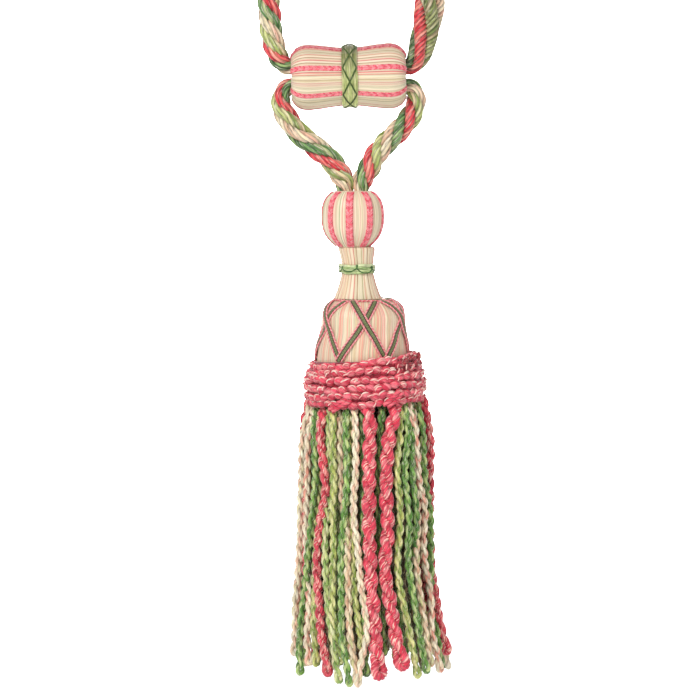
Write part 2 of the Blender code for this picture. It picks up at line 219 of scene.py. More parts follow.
# ---------------------------------------------------------------- building meshes
class Build:
    """Collects grids of points into one mesh, with a colour for each point and a place along and around for each corner."""

    def __init__(self):
        self.points, self.tints, self.faces, self.places, self.slots, self.count = [], [], [], [], [], 0

    def grid(self, points, tint, around=True, closed=False, along=None, slot=0, caps=False, turns=1.0):
        """points is (rings, sides, 3). around joins the last side to the first, closed the last ring to the first."""
        rings, sides = points.shape[:2]
        self.points.append(points.reshape(-1, 3))
        self.tints.append(np.broadcast_to(tint, points.shape).reshape(-1, 3))
        if along is None:
            along = run_of(points.mean(1))
        i = np.arange(rings if closed else rings - 1)[:, None]
        j = np.arange(sides if around else sides - 1)[None, :]
        a, b = (i + 0 * j), (j + 0 * i)
        i2, j2 = (a + 1) % rings, (b + 1) % sides
        corner = lambda r, s: self.count + r * sides + s
        quads = np.stack([corner(a, b), corner(a, j2), corner(i2, j2), corner(i2, b)], -1).reshape(-1, 4)
        step = along[1] - along[0]
        low, high = along[a], np.where(a + 1 < rings, along[i2], along[-1] + step)
        u0, u1 = b / sides * turns, (b + 1) / sides * turns
        places = np.stack([np.stack([u0, low], -1), np.stack([u1, low], -1), np.stack([u1, high], -1), np.stack([u0, high], -1)], -2)
        self.faces += quads.tolist()
        self.places.append(places.reshape(-1, 2))
        self.slots.append(np.full(len(quads), slot))
        self.count += rings * sides
        if caps and around and not closed:
            for ring, base, flip in ((0, points[0], True), (rings - 1, points[-1], False)):
                self.points.append(base.mean(0)[None])
                tints = np.broadcast_to(tint, points.shape)
                self.tints.append(tints[ring].mean(0)[None])
                start = self.count - (rings * sides if ring == 0 else rings * sides + 1)
                edge = [start + ring * sides + k for k in range(sides)]
                tris = [(self.count, edge[k], edge[(k + 1) % sides]) for k in range(sides)]
                if flip:
                    tris = [(a, c, b) for a, b, c in tris]
                self.faces += tris
                self.places.append(np.tile([[0.5, along[ring]]], (3 * sides, 1)))
                self.slots.append(np.full(sides, slot))
                self.count += 1

    def tube(self, points, frame, radius, angle, tint, closed=False, along=None, slot=0, caps=True):
        """A swept tube. radius and angle are (rings, sides)."""
        _, one, two = frame
        ring = points[:, None] + radius[..., None] * (np.cos(angle)[..., None] * one[:, None] + np.sin(angle)[..., None] * two[:, None])
        self.grid(ring, tint, closed=closed, along=along, slot=slot, caps=caps)

    def piece(self, name, materials, slot, nodes=()):
        mesh = bpy.data.meshes.new(name)
        points = np.concatenate(self.points)
        mesh.from_pydata(points.tolist(), [], self.faces)
        places = mesh.uv_layers.new(name="lay")
        places.data.foreach_set("uv", np.concatenate(self.places).astype(np.float32).ravel())
        tint = mesh.color_attributes.new("tint", "FLOAT_COLOR", "POINT")
        rgb = np.clip(np.concatenate(self.tints), 0.0, 1.0)
        tint.data.foreach_set("color", np.concatenate([rgb, np.ones((len(rgb), 1))], 1).astype(np.float32).ravel())
        for each in materials:
            mesh.materials.append(each)
        mesh.polygons.foreach_set("material_index", np.concatenate(self.slots).astype(np.int32))
        mesh.shade_smooth()
        mesh.update()
        made = bpy.data.objects.new(name, mesh)
        bpy.context.scene.collection.objects.link(made)
        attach(made, "root")
        if nodes:
            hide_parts(*nodes)
        return made


def lobed(count, per_lobe, valley, power=0.75):
    """A cross-section of round lobes: angles, shares of the radius, and depth from 0 in a valley to 1 on a crest."""
    k = np.arange(count * per_lobe)
    share = (k % per_lobe) / per_lobe
    crest = np.abs(np.sin(np.pi * share)) ** power
    return 2 * np.pi * k / len(k), valley + (1.0 - valley) * crest, crest, k // per_lobe


def rgb(r, g, b):
    """A colour as seen on screen, as linear light."""
    c = np.array([r, g, b], float) / 255.0
    return np.where(c <= 0.04045, c / 12.92, ((c + 0.055) / 1.055) ** 2.4)


# ---------------------------------------------------------------- colours
CORAL, CORAL_LIGHT, CORAL_DEEP = rgb(238, 78, 88), rgb(252, 118, 112), rgb(205, 42, 58)
GREEN, GREEN_LIGHT, GREEN_DEEP = rgb(96, 158, 92), rgb(142, 190, 122), rgb(58, 116, 58)
PALE, PALE_LIGHT, PALE_DEEP = rgb(178, 192, 122), rgb(206, 214, 152), rgb(140, 158, 84)
CREAM, CREAM_LIGHT, CREAM_PINK = rgb(244, 226, 196), rgb(252, 240, 216), rgb(246, 206, 184)
TAN = rgb(204, 168, 128)
PINK, ROSE = rgb(238, 92, 112), rgb(222, 70, 94)
DARK_GREEN, OLIVE, BROWN = rgb(52, 84, 40), rgb(120, 134, 72), rgb(70, 44, 34)


# ---------------------------------------------------------------- materials
def shader_of(name, roughness, sheen, specular):
    made = bpy.data.materials.new(name)
    made.use_nodes = True
    tree = made.node_tree
    shader = tree.nodes["Principled BSDF"]
    shader.inputs["Roughness"].default_value = roughness
    shader.inputs["Sheen Weight"].default_value = sheen
    shader.inputs["Sheen Roughness"].default_value = 0.45
    shader.inputs["Specular IOR Level"].default_value = specular
    return made, tree, shader


def node(tree, kind, **inputs):
    made = tree.nodes.new(kind)
    for key, value in inputs.items():
        if key in made.inputs:
            made.inputs[key].default_value = value
    return made


def math_node(tree, operation, first, second=None):
    made = tree.nodes.new("ShaderNodeMath")
    made.operation = operation
    for k, value in enumerate((first, second)):
        if value is None:
            continue
        if isinstance(value, (int, float)):
            made.inputs[k].default_value = value
        else:
            tree.links.new(value, made.inputs[k])
    return made.outputs[0]


def streaks(tree, across, along, detail=2.0):
    """Noise drawn out along the yarn: it changes across times round a yarn and along times in a metre."""
    place = tree.nodes.new("ShaderNodeUVMap")
    place.uv_map = "lay"
    split = tree.nodes.new("ShaderNodeSeparateXYZ")
    tree.links.new(place.outputs["UV"], split.inputs[0])
    turn = math_node(tree, "MULTIPLY", split.outputs["X"], 2 * math.pi)
    join = tree.nodes.new("ShaderNodeCombineXYZ")
    tree.links.new(math_node(tree, "MULTIPLY", math_node(tree, "COSINE", turn), across), join.inputs["X"])
    tree.links.new(math_node(tree, "MULTIPLY", math_node(tree, "SINE", turn), across), join.inputs["Y"])
    tree.links.new(math_node(tree, "MULTIPLY", split.outputs["Y"], along), join.inputs["Z"])
    noise = node(tree, "ShaderNodeTexNoise", Scale=1.0, Detail=detail, Roughness=0.6)
    tree.links.new(join.outputs[0], noise.inputs["Vector"])
    return noise.outputs["Fac"], split


def ramp(tree, source, *stops):
    made = tree.nodes.new("ShaderNodeValToRGB")
    made.color_ramp.elements[0].position, made.color_ramp.elements[0].color = stops[0][0], (*[stops[0][1]] * 3, 1)
    made.color_ramp.elements[1].position, made.color_ramp.elements[1].color = stops[-1][0], (*[stops[-1][1]] * 3, 1)
    for at, value in stops[1:-1]:
        made.color_ramp.elements.new(at).color = (*[value] * 3, 1)
    tree.links.new(source, made.inputs[0])
    return made.outputs[0]


def mixed(tree, kind, factor, first, second):
    made = tree.nodes.new("ShaderNodeMix")
    made.data_type = "RGBA"
    made.blend_type = kind
    for socket, value in ((made.inputs[0], factor), (made.inputs[6], first), (made.inputs[7], second)):
        if isinstance(value, (int, float)):
            socket.default_value = value
        elif isinstance(value, (tuple, list, np.ndarray)):
            socket.default_value = (*value, 1.0)
        else:
            tree.links.new(value, socket)
    return made.outputs[2]


def yarn_material(name, across=3.5, along=220.0, dark=0.5, light=0.3, pale=(255, 244, 226), bump=0.3, roughness=0.5, sheen=0.25):
    """Twisted yarn: the point colours with darker fibres drawn out along it, a painted shade where the bump sinks, and
    paler streaks over them that are painted sheen highlights.
    """
    made, tree, shader = shader_of(name, roughness, sheen, 0.35)
    tint = tree.nodes.new("ShaderNodeVertexColor")
    tint.layer_name = "tint"
    fibre, _ = streaks(tree, across, along, 3.0)
    painted_glint, _ = streaks(tree, across * 1.7, along * 0.8, 1.0)
    # painted shade: the fibres darken where the bump made from the same noise sinks
    shade = ramp(tree, fibre, (0.34, dark), (0.47, 0.96), (0.70, 1.06))
    colour = mixed(tree, "MULTIPLY", 1.0, tint.outputs["Color"], shade)
    # painted sheen highlights: paler streaks mixed over the colour
    shown = ramp(tree, painted_glint, (0.56, 0.0), (0.68, light))
    colour = mixed(tree, "MIX", shown, colour, tuple(rgb(*pale)))
    tree.links.new(colour, shader.inputs["Base Color"])
    lift = node(tree, "ShaderNodeBump", Strength=bump, Distance=0.0004)
    tree.links.new(fibre, lift.inputs["Height"])
    tree.links.new(lift.outputs[0], shader.inputs["Normal"])
    return made


def laid_material(name, threads, pink=0.12, tan=0.10, seed=0.0, roughness=0.42):
    """Fine threads laid side by side. Each has its own shade; some are pink and some tan."""
    made, tree, shader = shader_of(name, roughness, 0.2, 0.4)
    tint = tree.nodes.new("ShaderNodeVertexColor")
    tint.layer_name = "tint"
    place = tree.nodes.new("ShaderNodeUVMap")
    place.uv_map = "lay"
    split = tree.nodes.new("ShaderNodeSeparateXYZ")
    tree.links.new(place.outputs["UV"], split.inputs[0])
    drift = tree.nodes.new("ShaderNodeTexNoise")
    drift.inputs["Scale"].default_value = 1.0
    drift.inputs["Detail"].default_value = 1.0
    spot = tree.nodes.new("ShaderNodeCombineXYZ")
    tree.links.new(math_node(tree, "MULTIPLY", split.outputs["X"], 24.0), spot.inputs["X"])
    tree.links.new(math_node(tree, "MULTIPLY", split.outputs["Y"], 40.0), spot.inputs["Y"])
    spot.inputs["Z"].default_value = seed
    tree.links.new(spot.outputs[0], drift.inputs["Vector"])
    # threads wander a little sideways along their length
    wander = math_node(tree, "MULTIPLY", math_node(tree, "SUBTRACT", drift.outputs["Fac"], 0.5), 3.0)
    number = math_node(tree, "ADD", math_node(tree, "MULTIPLY", split.outputs["X"], float(threads)), wander)
    which = tree.nodes.new("ShaderNodeTexWhiteNoise")
    which.noise_dimensions = "1D"
    tree.links.new(math_node(tree, "ADD", math_node(tree, "FLOOR", number), seed * 17.0), which.inputs["W"])
    pick = which.outputs["Value"]
    other = tree.nodes.new("ShaderNodeTexWhiteNoise")
    other.noise_dimensions = "1D"
    tree.links.new(math_node(tree, "ADD", math_node(tree, "FLOOR", number), seed * 17.0 + 333.0), other.inputs["W"])
    shade = ramp(tree, other.outputs["Value"], (0.0, 0.86), (1.0, 1.06))
    colour = mixed(tree, "MULTIPLY", 1.0, tint.outputs["Color"], shade)
    is_pink = math_node(tree, "LESS_THAN", pick, pink)
    is_tan = math_node(tree, "GREATER_THAN", pick, 1.0 - tan)
    colour = mixed(tree, "MIX", math_node(tree, "MULTIPLY", is_pink, 0.62), colour, tuple(rgb(236, 140, 132)))
    colour = mixed(tree, "MIX", math_node(tree, "MULTIPLY", is_tan, 0.60), colour, tuple(rgb(206, 186, 140)))
    across = math_node(tree, "ABSOLUTE", math_node(tree, "SUBTRACT", math_node(tree, "FRACT", number), 0.5))
    # painted shade: each thread darkens towards its edges, in the groove between threads
    groove = ramp(tree, across, (0.30, 1.0), (0.5, 0.76))
    tree.links.new(mixed(tree, "MULTIPLY", 1.0, colour, groove), shader.inputs["Base Color"])
    lift = node(tree, "ShaderNodeBump", Strength=0.35, Distance=0.0003)
    tree.links.new(groove, lift.inputs["Height"])
    tree.links.new(lift.outputs[0], shader.inputs["Normal"])
    return made


# ---------------------------------------------------------------- the rope
def pass_through(sign):
    rows = []
    for k in range(5):
        share = k / 4
        turn = math.radians(-90 + 180 * share)
        reach = PASS_OFF * (1.05 if k in (0, 4) else 0.97)
        rows.append(
            (
                x_of(BARREL_U) + (2 * share - 1) * (BARREL_HALF - 1 * MM),
                sign * reach * math.cos(turn),
                z_of(BARREL_V) - sign * reach * math.sin(turn),
                0.72 if k in (0, 4) else 0.7,
            )
        )
    return rows


def on_grid(*rows):
    return [(x_of(u), 0.0, z_of(v), size) for u, v, size in rows]


def loop_side(sign, heights):
    return [(sign * out * MM, 0.0, z_of(0) + up * MM, size) for up, out, size in heights]


LOOP_ARM = ((30, 45.6, 1.1), (78, 45.8, 1.0), (130, 43.8, 1.0), (178, 39.8, 1.0), (220, 34.4, 1.0), (256, 28.4, 1.0))


def rope_route():
    """The rope's points, (x, y, z, share of its full radius), from one end in the ball's socket to the other."""
    top = [
        (LOOP_BEND * math.cos(a), 0.0, z_of(0) + LOOP_RISE - LOOP_BEND + LOOP_BEND * math.sin(a), 1.0)
        for a in (math.radians(k * 45) for k in range(5))
    ]
    return (
        on_grid((345.4, 213, 0.66), (345.4, 200, 0.66), (345.3, 189, 0.66), (343.8, 180, 0.76), (337.6, 170, 0.96))
        + on_grid((329, 158.5, 1.0), (317, 148, 1.0), (303, 137, 1.0), (291.2, 124, 1.0), (282.8, 110, 0.93))
        + on_grid((281.2, 99, 0.84), (285.2, 89.6, 0.76))
        + pass_through(-1)
        + on_grid((411.0, 67.0, 0.8), (417.0, 59.0, 0.98), (421.6, 46.0, 1.12), (425.6, 30, 1.18), (428.2, 15, 1.18), (430, 0, 1.16))
        + loop_side(1, LOOP_ARM)
        + top
        + list(reversed(loop_side(-1, LOOP_ARM)))[:-1]
        + loop_side(-1, ((30, 45.4, 1.0),))
        + on_grid((269.4, 0, 1.0), (270.4, 20, 1.0), (273.0, 40, 1.0), (277.6, 55, 0.93), (285.0, 65.6, 0.8))
        + pass_through(1)
        + on_grid((412.4, 88.6, 0.76), (415.9, 98, 0.84), (414.2, 109, 0.93), (407.8, 120.5, 1.0), (397.6, 132, 1.0))
        + on_grid((386, 143.5, 1.0), (376, 155, 1.0), (369.0, 168, 0.96), (362.8, 180, 0.76), (361.3, 189, 0.66))
        + on_grid((361.3, 200, 0.66), (361.3, 213, 0.66))
    )


# how far the rope has twisted, in quarter turns, where its line passes a place: (u, v, quarter turns, yarn twist in radians a mm).
# At a whole number the strand of that number (0 coral, 1 green, 2 cream, 3 pale green, and so on round) faces the viewer.
ROPE_TWIST = (
    (345.4, 213.0, 0.0, 0.33),
    (345.0, 187.0, 2.0, 0.33),
    (341.0, 176.0, 3.0, 0.33),
    (333.0, 164.0, 4.0, 0.33),
    (317.5, 149.0, 5.0, 0.33),
    (303.0, 136.5, 6.0, 0.33),
    (285.5, 114.5, 7.0, 0.34),
    (281.5, 101.0, 8.0, 0.34),
    (286.5, 89.0, 9.0, 0.38),
    (411.0, 67.0, 15.5, 0.44),
    (420.0, 52.0, 16.03, 0.46),
    (425.8, 28.0, 16.5, 0.46),
    (429.0, 8.0, 16.95, 0.44),
    (430.0, 0.0, 17.2, 0.42),
)
ROPE_TWIST_DOWN = (
    (269.4, 2.0, 92.0, 0.34),
    (270.2, 16.0, 93.0, 0.33),
    (271.6, 30.0, 94.0, 0.33),
    (274.2, 45.0, 95.0, 0.33),
    (279.6, 60.0, 96.0, 0.33),
    (287.0, 68.0, 97.0, 0.34),
    (412.4, 88.6, 106.0, 0.38),
    (415.8, 100.0, 107.0, 0.42),
    (410.0, 117.0, 108.0, 0.45),
    (397.5, 132.0, 109.0, 0.45),
    (386.5, 143.0, 110.0, 0.42),
    (376.0, 155.0, 111.0, 0.40),
    (368.5, 168.0, 112.0, 0.38),
    (361.5, 190.0, 113.5, 0.38),
    (361.3, 213.0, 115.0, 0.38),
)
STRANDS = (
    ("coral", (rgb(229, 68, 75), rgb(242, 113, 104), rgb(211, 47, 58), rgb(236, 89, 87), rgb(246, 146, 127), rgb(221, 56, 66))),
    ("green", (rgb(97, 142, 76), rgb(156, 184, 115), rgb(63, 103, 49), rgb(114, 157, 87), rgb(79, 124, 64), rgb(173, 184, 126))),
    ("cream", (rgb(244, 225, 187), rgb(234, 184, 157), rgb(232, 213, 173), rgb(246, 231, 197), rgb(223, 180, 146), rgb(240, 208, 177))),
    ("pale", (rgb(183, 194, 116), rgb(217, 213, 153), rgb(140, 159, 84), rgb(223, 202, 155), rgb(165, 180, 100), rgb(201, 206, 136))),
)


def twist_along(line, run):
    """Quarter turns and yarn twist at each point of the rope's line."""
    at, quarters, rates = [], [], []
    first_half = run < run[-1] / 2
    for rows, half in ((ROPE_TWIST, first_half), (ROPE_TWIST_DOWN, ~first_half)):
        index = np.flatnonzero(half)
        for u, v, q, rate in rows:
            away = np.hypot(line[index, 0] - x_of(u), line[index, 2] - z_of(v))
            at.append(run[index[away.argmin()]])
            quarters.append(q)
            rates.append(rate)
    order = np.argsort(at)
    at, quarters, rates = (np.array(a)[order] for a in (at, quarters, rates))
    quarter = np.interp(run, at, quarters)
    rate = np.interp(run, at, rates)
    width = 9
    kernel = np.hanning(width + 2)[1:-1]
    kernel /= kernel.sum()
    pad = np.concatenate([np.full(width // 2, quarter[0]), quarter, np.full(width // 2, quarter[-1])])
    return np.convolve(pad, kernel, "valid"), rate


def make_rope(material):
    line, run = evenly(smooth(rope_route(), 14), 0.92 * MM)
    size, line = line[:, 3], line[:, :3]
    quarter, rate = twist_along(line, run)
    along = tangents(line)
    front = square_to(np.broadcast_to((0.0, -1.0, 0.0), line.shape), along)
    side = np.cross(along, front)
    # the green and the pale strand change places inside the barrel, and back in the top of the loop
    right_mouth = run[np.hypot(line[:, 0] - x_of(411), line[:, 2] - z_of(67)).argmin()]
    swaps = ((right_mouth - 36 * MM, 14 * MM), (run[line[:, 2].argmax()], 16 * MM))
    turned = np.zeros(len(run))
    for sign, (middle, half) in zip((1, -1), swaps):
        turned += sign * 0.5 * (1 + np.tanh((run - middle) / (half * 0.55)))
    passing = sum(np.exp(-(((run - middle) / half) ** 2) * 2.2) for middle, half in swaps)
    build = Build()
    base, share, crest, lobe = lobed(6, 3, 0.72)
    # the strands stand a little apart where the rope is bent sharply or let go: over the ball and up the right arm
    low = np.exp(-(((line[:, 2] - z_of(182)) / (9 * GRID)) ** 2))
    high = np.exp(-(((line[:, 2] - z_of(8)) / (34 * GRID)) ** 4)) * (line[:, 0] > x_of(400))
    size = size * (1 + 0.24 * low + 0.13 * high)
    yarn_turn = np.concatenate([[0.0], np.cumsum(rate[1:] * np.diff(run) / MM)])
    strand_r = 2.72 * MM
    for k, (_, colours) in enumerate(STRANDS):
        own = 2 * np.pi * k / 4
        # places in the rope's own turning section: one is towards the coral strand, two towards the green
        one, two = np.cos(own) * np.ones(len(run)), np.sin(own) * np.ones(len(run))
        if k in (1, 3):
            two = two * np.cos(np.pi * turned)
            one = passing * (0.5 if k == 1 else -0.5)
        else:
            one = one * (1 + 0.2 * passing)
        turn = -np.pi / 2 * quarter
        across = np.cos(turn) * one - np.sin(turn) * two
        beside = np.sin(turn) * one + np.cos(turn) * two
        wobble = 1 + 0.035 * np.sin(run / MM * 0.21 + 1.7 * k) + 0.02 * np.sin(run / MM * 0.53 + k)
        reach = (ROPE_R - strand_r) * size * wobble
        centre = line + (reach * across)[:, None] * front + (reach * beside)[:, None] * side
        strand_along = tangents(centre)
        radial = square_to(np.cos(turn + own)[:, None] * front + np.sin(turn + own)[:, None] * side, strand_along)
        frame_k = (strand_along, radial, np.cross(strand_along, radial))
        swell = strand_r * size * (1 + 0.04 * np.sin(run / MM * 0.33 + 2.1 * k))
        radius = swell[:, None] * share[None, :] * 1.08
        angle = base[None, :] + (yarn_turn + 0.7 * k)[:, None]
        # painted shade in the valleys between the yarns
        shade = 0.46 + 0.58 * crest
        # a strand is deeper in shade where it goes round to the rope's far side and along its own edges
        around = np.cos(angle)
        tuck = 0.62 + 0.38 * np.clip(0.48 + 0.95 * around, 0.0, 1.0)
        tint = np.array(colours)[lobe][None] * shade[None, :, None] * tuck[..., None]
        build.tube(centre, frame_k, radius, angle, tint, along=run)
    rope = build.piece("rope_twisted", [material], "rope", ["rope"])


# ---------------------------------------------------------------- thread-covered turned pieces
def ridges(count, per_ridge, depth, rng):
    """Heights round a piece of laid threads: count ridges of uneven width."""
    edges = (np.arange(count + 1) + np.concatenate([[0], rng.uniform(-0.28, 0.28, count - 1), [0]])) / count
    edges[-1] = 1.0
    at = np.arange(count * per_ridge) / (count * per_ridge)
    index = np.clip(np.searchsorted(edges, at, "right") - 1, 0, count - 1)
    share = (at - edges[index]) / (edges[index + 1] - edges[index])
    tall = rng.uniform(0.45, 1.0, count)[index]
    return at, depth * tall * np.sin(np.pi * share) ** 0.7


def outline(rows, step, scale=GRID):
    """A smooth outline through a table's rows, its points a step apart: (place down, radius) in metres or grid steps."""
    return evenly(smooth(rows, 8), step)[0]


COVER_SHADES = (rgb(241, 223, 193), rgb(235, 217, 184), rgb(228, 215, 182), rgb(237, 208, 182), rgb(230, 204, 169), rgb(239, 221, 191))
PLAIN_SHADES = (rgb(241, 226, 198), rgb(235, 220, 190), rgb(232, 219, 188), rgb(238, 222, 194), rgb(234, 216, 185), rgb(240, 224, 194))
THREAD_LINES = (rgb(192, 78, 78), rgb(160, 112, 76), rgb(216, 110, 104), rgb(118, 128, 80), rgb(202, 92, 88))
QUIET_LINES = (rgb(168, 164, 122), rgb(176, 146, 106), rgb(188, 176, 136), rgb(146, 156, 112), rgb(212, 142, 124))


def bundle_lines(theta, v, bundles, seed, sway=0.0, thick=0.17):
    """Which line between two bundles of thread is nearest to each place, which bundle the place is in, and how near the line is, from 0 to 1."""
    rng = np.random.default_rng(seed)
    edges = np.sort((np.arange(bundles) + rng.uniform(-0.32, 0.32, bundles)) / bundles * 2 * np.pi % (2 * np.pi))
    turned = (theta[None, :] + sway * np.sin(v * 0.11)[:, None]) % (2 * np.pi)
    away = np.abs((turned[..., None] - edges + np.pi) % (2 * np.pi) - np.pi)
    line = np.exp(-((away.min(-1) / (2 * np.pi / bundles * thick)) ** 2))
    return away.argmin(-1), np.searchsorted(edges, turned) % bundles, line


def cover_tint(theta, v, found, crest, shades, lines, strength, seed):
    """Cream thread in bundles, with a thin coloured thread or a shadow where two meet."""
    nearest, bundle, line = found
    rng = np.random.default_rng(seed + 1)
    most = max(nearest.max(), bundle.max()) + 1
    base = np.array(shades)[rng.integers(0, len(shades), most)][bundle]
    tone = np.array(lines)[rng.integers(0, len(lines), most)][nearest]
    strong = rng.uniform(0.35, 1.0, most)[nearest]
    weight = np.clip(line * strong * strength * (0.85 + 0.15 * np.sin(v * 0.19)[:, None]), 0.0, 0.95)[..., None]
    # painted shade in the hollows between the ridges of thread
    return (base * (1 - weight) + tone * weight) * (0.90 + 0.12 * crest)[None, :, None]


DOME_AXIS = ((298.0, 363.3), (316.0, 363.9), (334.0, 363.3), (350.0, 362.3), (372.0, 362.2))
NECK_AXIS = ((247.0, 356.6), (262.0, 357.6), (299.0, 357.9))


def axis_at(axis_u, v):
    """The place across of an upright piece's axis: a number, or rows of (v, u) where it leans."""
    return column(axis_u, v, 1) if isinstance(axis_u, tuple) else axis_u


def upright_cover(name, rows, axis_u, sides, ridge_count, depth, step, material, slot, nodes, bundles, groove, shades, lines, strength, seed, thick=0.17, beside=None):
    """A turned cover with threads that run down it in bundles; beside gives where pink threads gather: (first, how many, spread) in degrees."""
    line = outline(rows, step)
    # both ends are tucked in, under the pieces next to them
    (v0, r0), (v1, r1) = line[0], line[-1]
    line = np.concatenate([[(v0 - 0.35, r0 * 0.6), (v0 - 0.25, r0 - 0.9)], line, [(v1 + 0.2, r1 - 0.9), (v1 + 0.3, r1 * 0.6)]])
    at, lift = ridges(ridge_count, sides // ridge_count, depth, RNG)
    theta = 2 * np.pi * at
    found = bundle_lines(theta, line[:, 0], bundles, seed, 0.012, thick)
    radius = line[:, 1][:, None] * GRID + lift[None, :] - depth * 0.5 - groove * found[2]
    x = x_of(axis_at(axis_u, line[:, 0]) + 0 * line[:, 0])[:, None] + radius * np.sin(theta)
    y = -radius * np.cos(theta)
    z = np.broadcast_to(z_of(line[:, 0])[:, None], x.shape)
    points = np.stack([x, y, z], -1)[::-1]
    build = Build()
    colours = cover_tint(theta, line[:, 0], found, lift / depth, shades, lines, strength, seed)
    if beside:
        first, count, spread = beside
        away = np.abs((np.degrees(theta) - first + 180.0 / count) % (360.0 / count) - 180.0 / count)
        weight = 0.6 * np.exp(-((away / spread) ** 2))[None, :, None]
        colours = colours * (1 - weight) + rgb(240, 156, 142) * weight
    build.grid(points, colours[::-1], along=run_of(line * GRID), caps=True)
    return build.piece(name, [material], slot, nodes)


# coloured threads along the barrel: (degrees from the viewer's side, positive downward; width in degrees; strength; pink 1 or tan 0)
BARREL_LINES = (
    (-58.0, 3.0, 0.55, 1),
    (-50.0, 2.4, 0.50, 0),
    (-43.0, 2.6, 0.70, 1),
    (-36.5, 2.2, 0.55, 0),
    (-31.0, 2.6, 0.60, 1),
    (-25.5, 2.0, 0.40, 0),
    (-7.5, 2.0, 0.55, 1),
    (-3.0, 2.6, 0.50, 0),
    (6.0, 2.2, 0.40, 0),
    (12.0, 2.0, 0.30, 1),
    (20.0, 2.0, 0.18, 0),
    (52.0, 2.2, 0.22, 0),
    (66.0, 3.0, 0.30, 1),
    (95.0, 3.0, 0.45, 1),
    (118.0, 2.5, 0.45, 0),
    (132.0, 2.5, 0.55, 1),
    (160.0, 2.5, 0.45, 0),
    (176.0, 2.5, 0.45, 1),
    (-152.0, 2.5, 0.50, 0),
    (-138.0, 2.5, 0.50, 1),
    (-104.0, 2.5, 0.50, 0),
    (-88.0, 3.0, 0.55, 1),
)


BARREL_LEAN = 1.1  # degrees that its right end is raised


def barrel_place(s, r, theta):
    """A point of the barrel: s along from its middle, r from its axis, theta from the viewer's side, positive downward."""
    s, r, theta = np.broadcast_arrays(s, r, theta)
    low, lean = r * np.sin(theta), math.radians(BARREL_LEAN)
    x, z = s * math.cos(lean) + low * math.sin(lean), s * math.sin(lean) - low * math.cos(lean)
    return np.stack([x_of(BARREL_U) + x, -r * np.cos(theta), z_of(BARREL_V) + z], -1)


def barrel_outline():
    # under the band the cover goes straight on, so the waist is shallow
    half = [(s, r) for s, r in BARREL_OUTLINE if s != 9.4]
    half[0], half[1] = (0.0, 28.4), (14.0, 29.6)
    rows = [(-s, r) for s, r in reversed(half[1:])] + half
    line = smooth(rows, 10) * GRID
    return line


def make_barrel(material):
    outer = barrel_outline()
    end = outer[-1, 0]
    lip = [(end, outer[-1, 1]), (end + 0.25 * MM, MOUTH_R + 0.5 * MM), (end - 0.5 * MM, MOUTH_R - 0.1 * MM), (end - 7 * MM, BORE_R)]
    right = smooth(lip, 5)[1:]
    line = np.concatenate([right[::-1] * (-1, 1), outer, right])
    line, run = evenly(line, 2.1 * MM)
    at, lift = ridges(92, 6, 0.16 * MM, RNG)
    theta = 2 * np.pi * at
    outside = np.clip((line[:, 1] - MOUTH_R) / (2 * MM), 0.0, 1.0)
    radius = line[:, 1][:, None] + (lift[None, :] - 0.08 * MM) * outside[:, None]
    found = bundle_lines(theta, run / GRID, 46, 5)
    radius = radius - 0.14 * MM * found[2] * outside[:, None]
    points = barrel_place(line[:, 0][:, None], radius, theta[None, :])
    tint = cover_tint(theta, run / GRID, found, lift / (0.16 * MM), PLAIN_SHADES, QUIET_LINES, 0.7, 5)
    degrees = (np.degrees(theta) + 180) % 360 - 180
    for centre, width, strength, is_pink in BARREL_LINES:
        # lines converge a little where the threads gather at the ends
        away = np.abs((degrees - centre + 180) % 360 - 180)
        weight = min(1.0, 2.3 * strength) * np.exp(-((away / (width * 0.44)) ** 2))
        colour = rgb(200, 86, 90) if is_pink else rgb(144, 114, 76)
        tint = tint * (1 - weight[None, :, None]) + colour * weight[None, :, None]
    build = Build()
    # theta runs downward in front, so the ring order is turned round to face out
    build.grid(points[:, ::-1], tint[:, ::-1], along=run)
    build.piece("barrel_cover", [material], "satin_cream", ["barrel"])


# ---------------------------------------------------------------- gimps
def twisted_line(build, points, radius, pitch, hand, colours, lobes=2, per_lobe=3, valley=0.62, closed=False, phase=0.0, slot=0, crest_gain=0.32):
    """One tight cord of lobes twisted together; hand +1 or -1."""
    frame_k = carried_frame(points)
    run = run_of(points)
    base, share, crest, lobe = lobed(lobes, per_lobe, valley)
    angle = base[None, :] + (hand * 2 * np.pi * run / pitch + phase)[:, None]
    r = np.broadcast_to(radius, run.shape)[:, None] * share[None, :]
    # painted shade in the valleys between the lobes
    tint = np.array(colours)[lobe % len(colours)] * (1 - crest_gain + crest_gain * 1.1 * crest)[:, None]
    build.tube(points, frame_k, r, angle, np.broadcast_to(tint[None], (len(run), len(base), 3)), along=run, slot=slot)


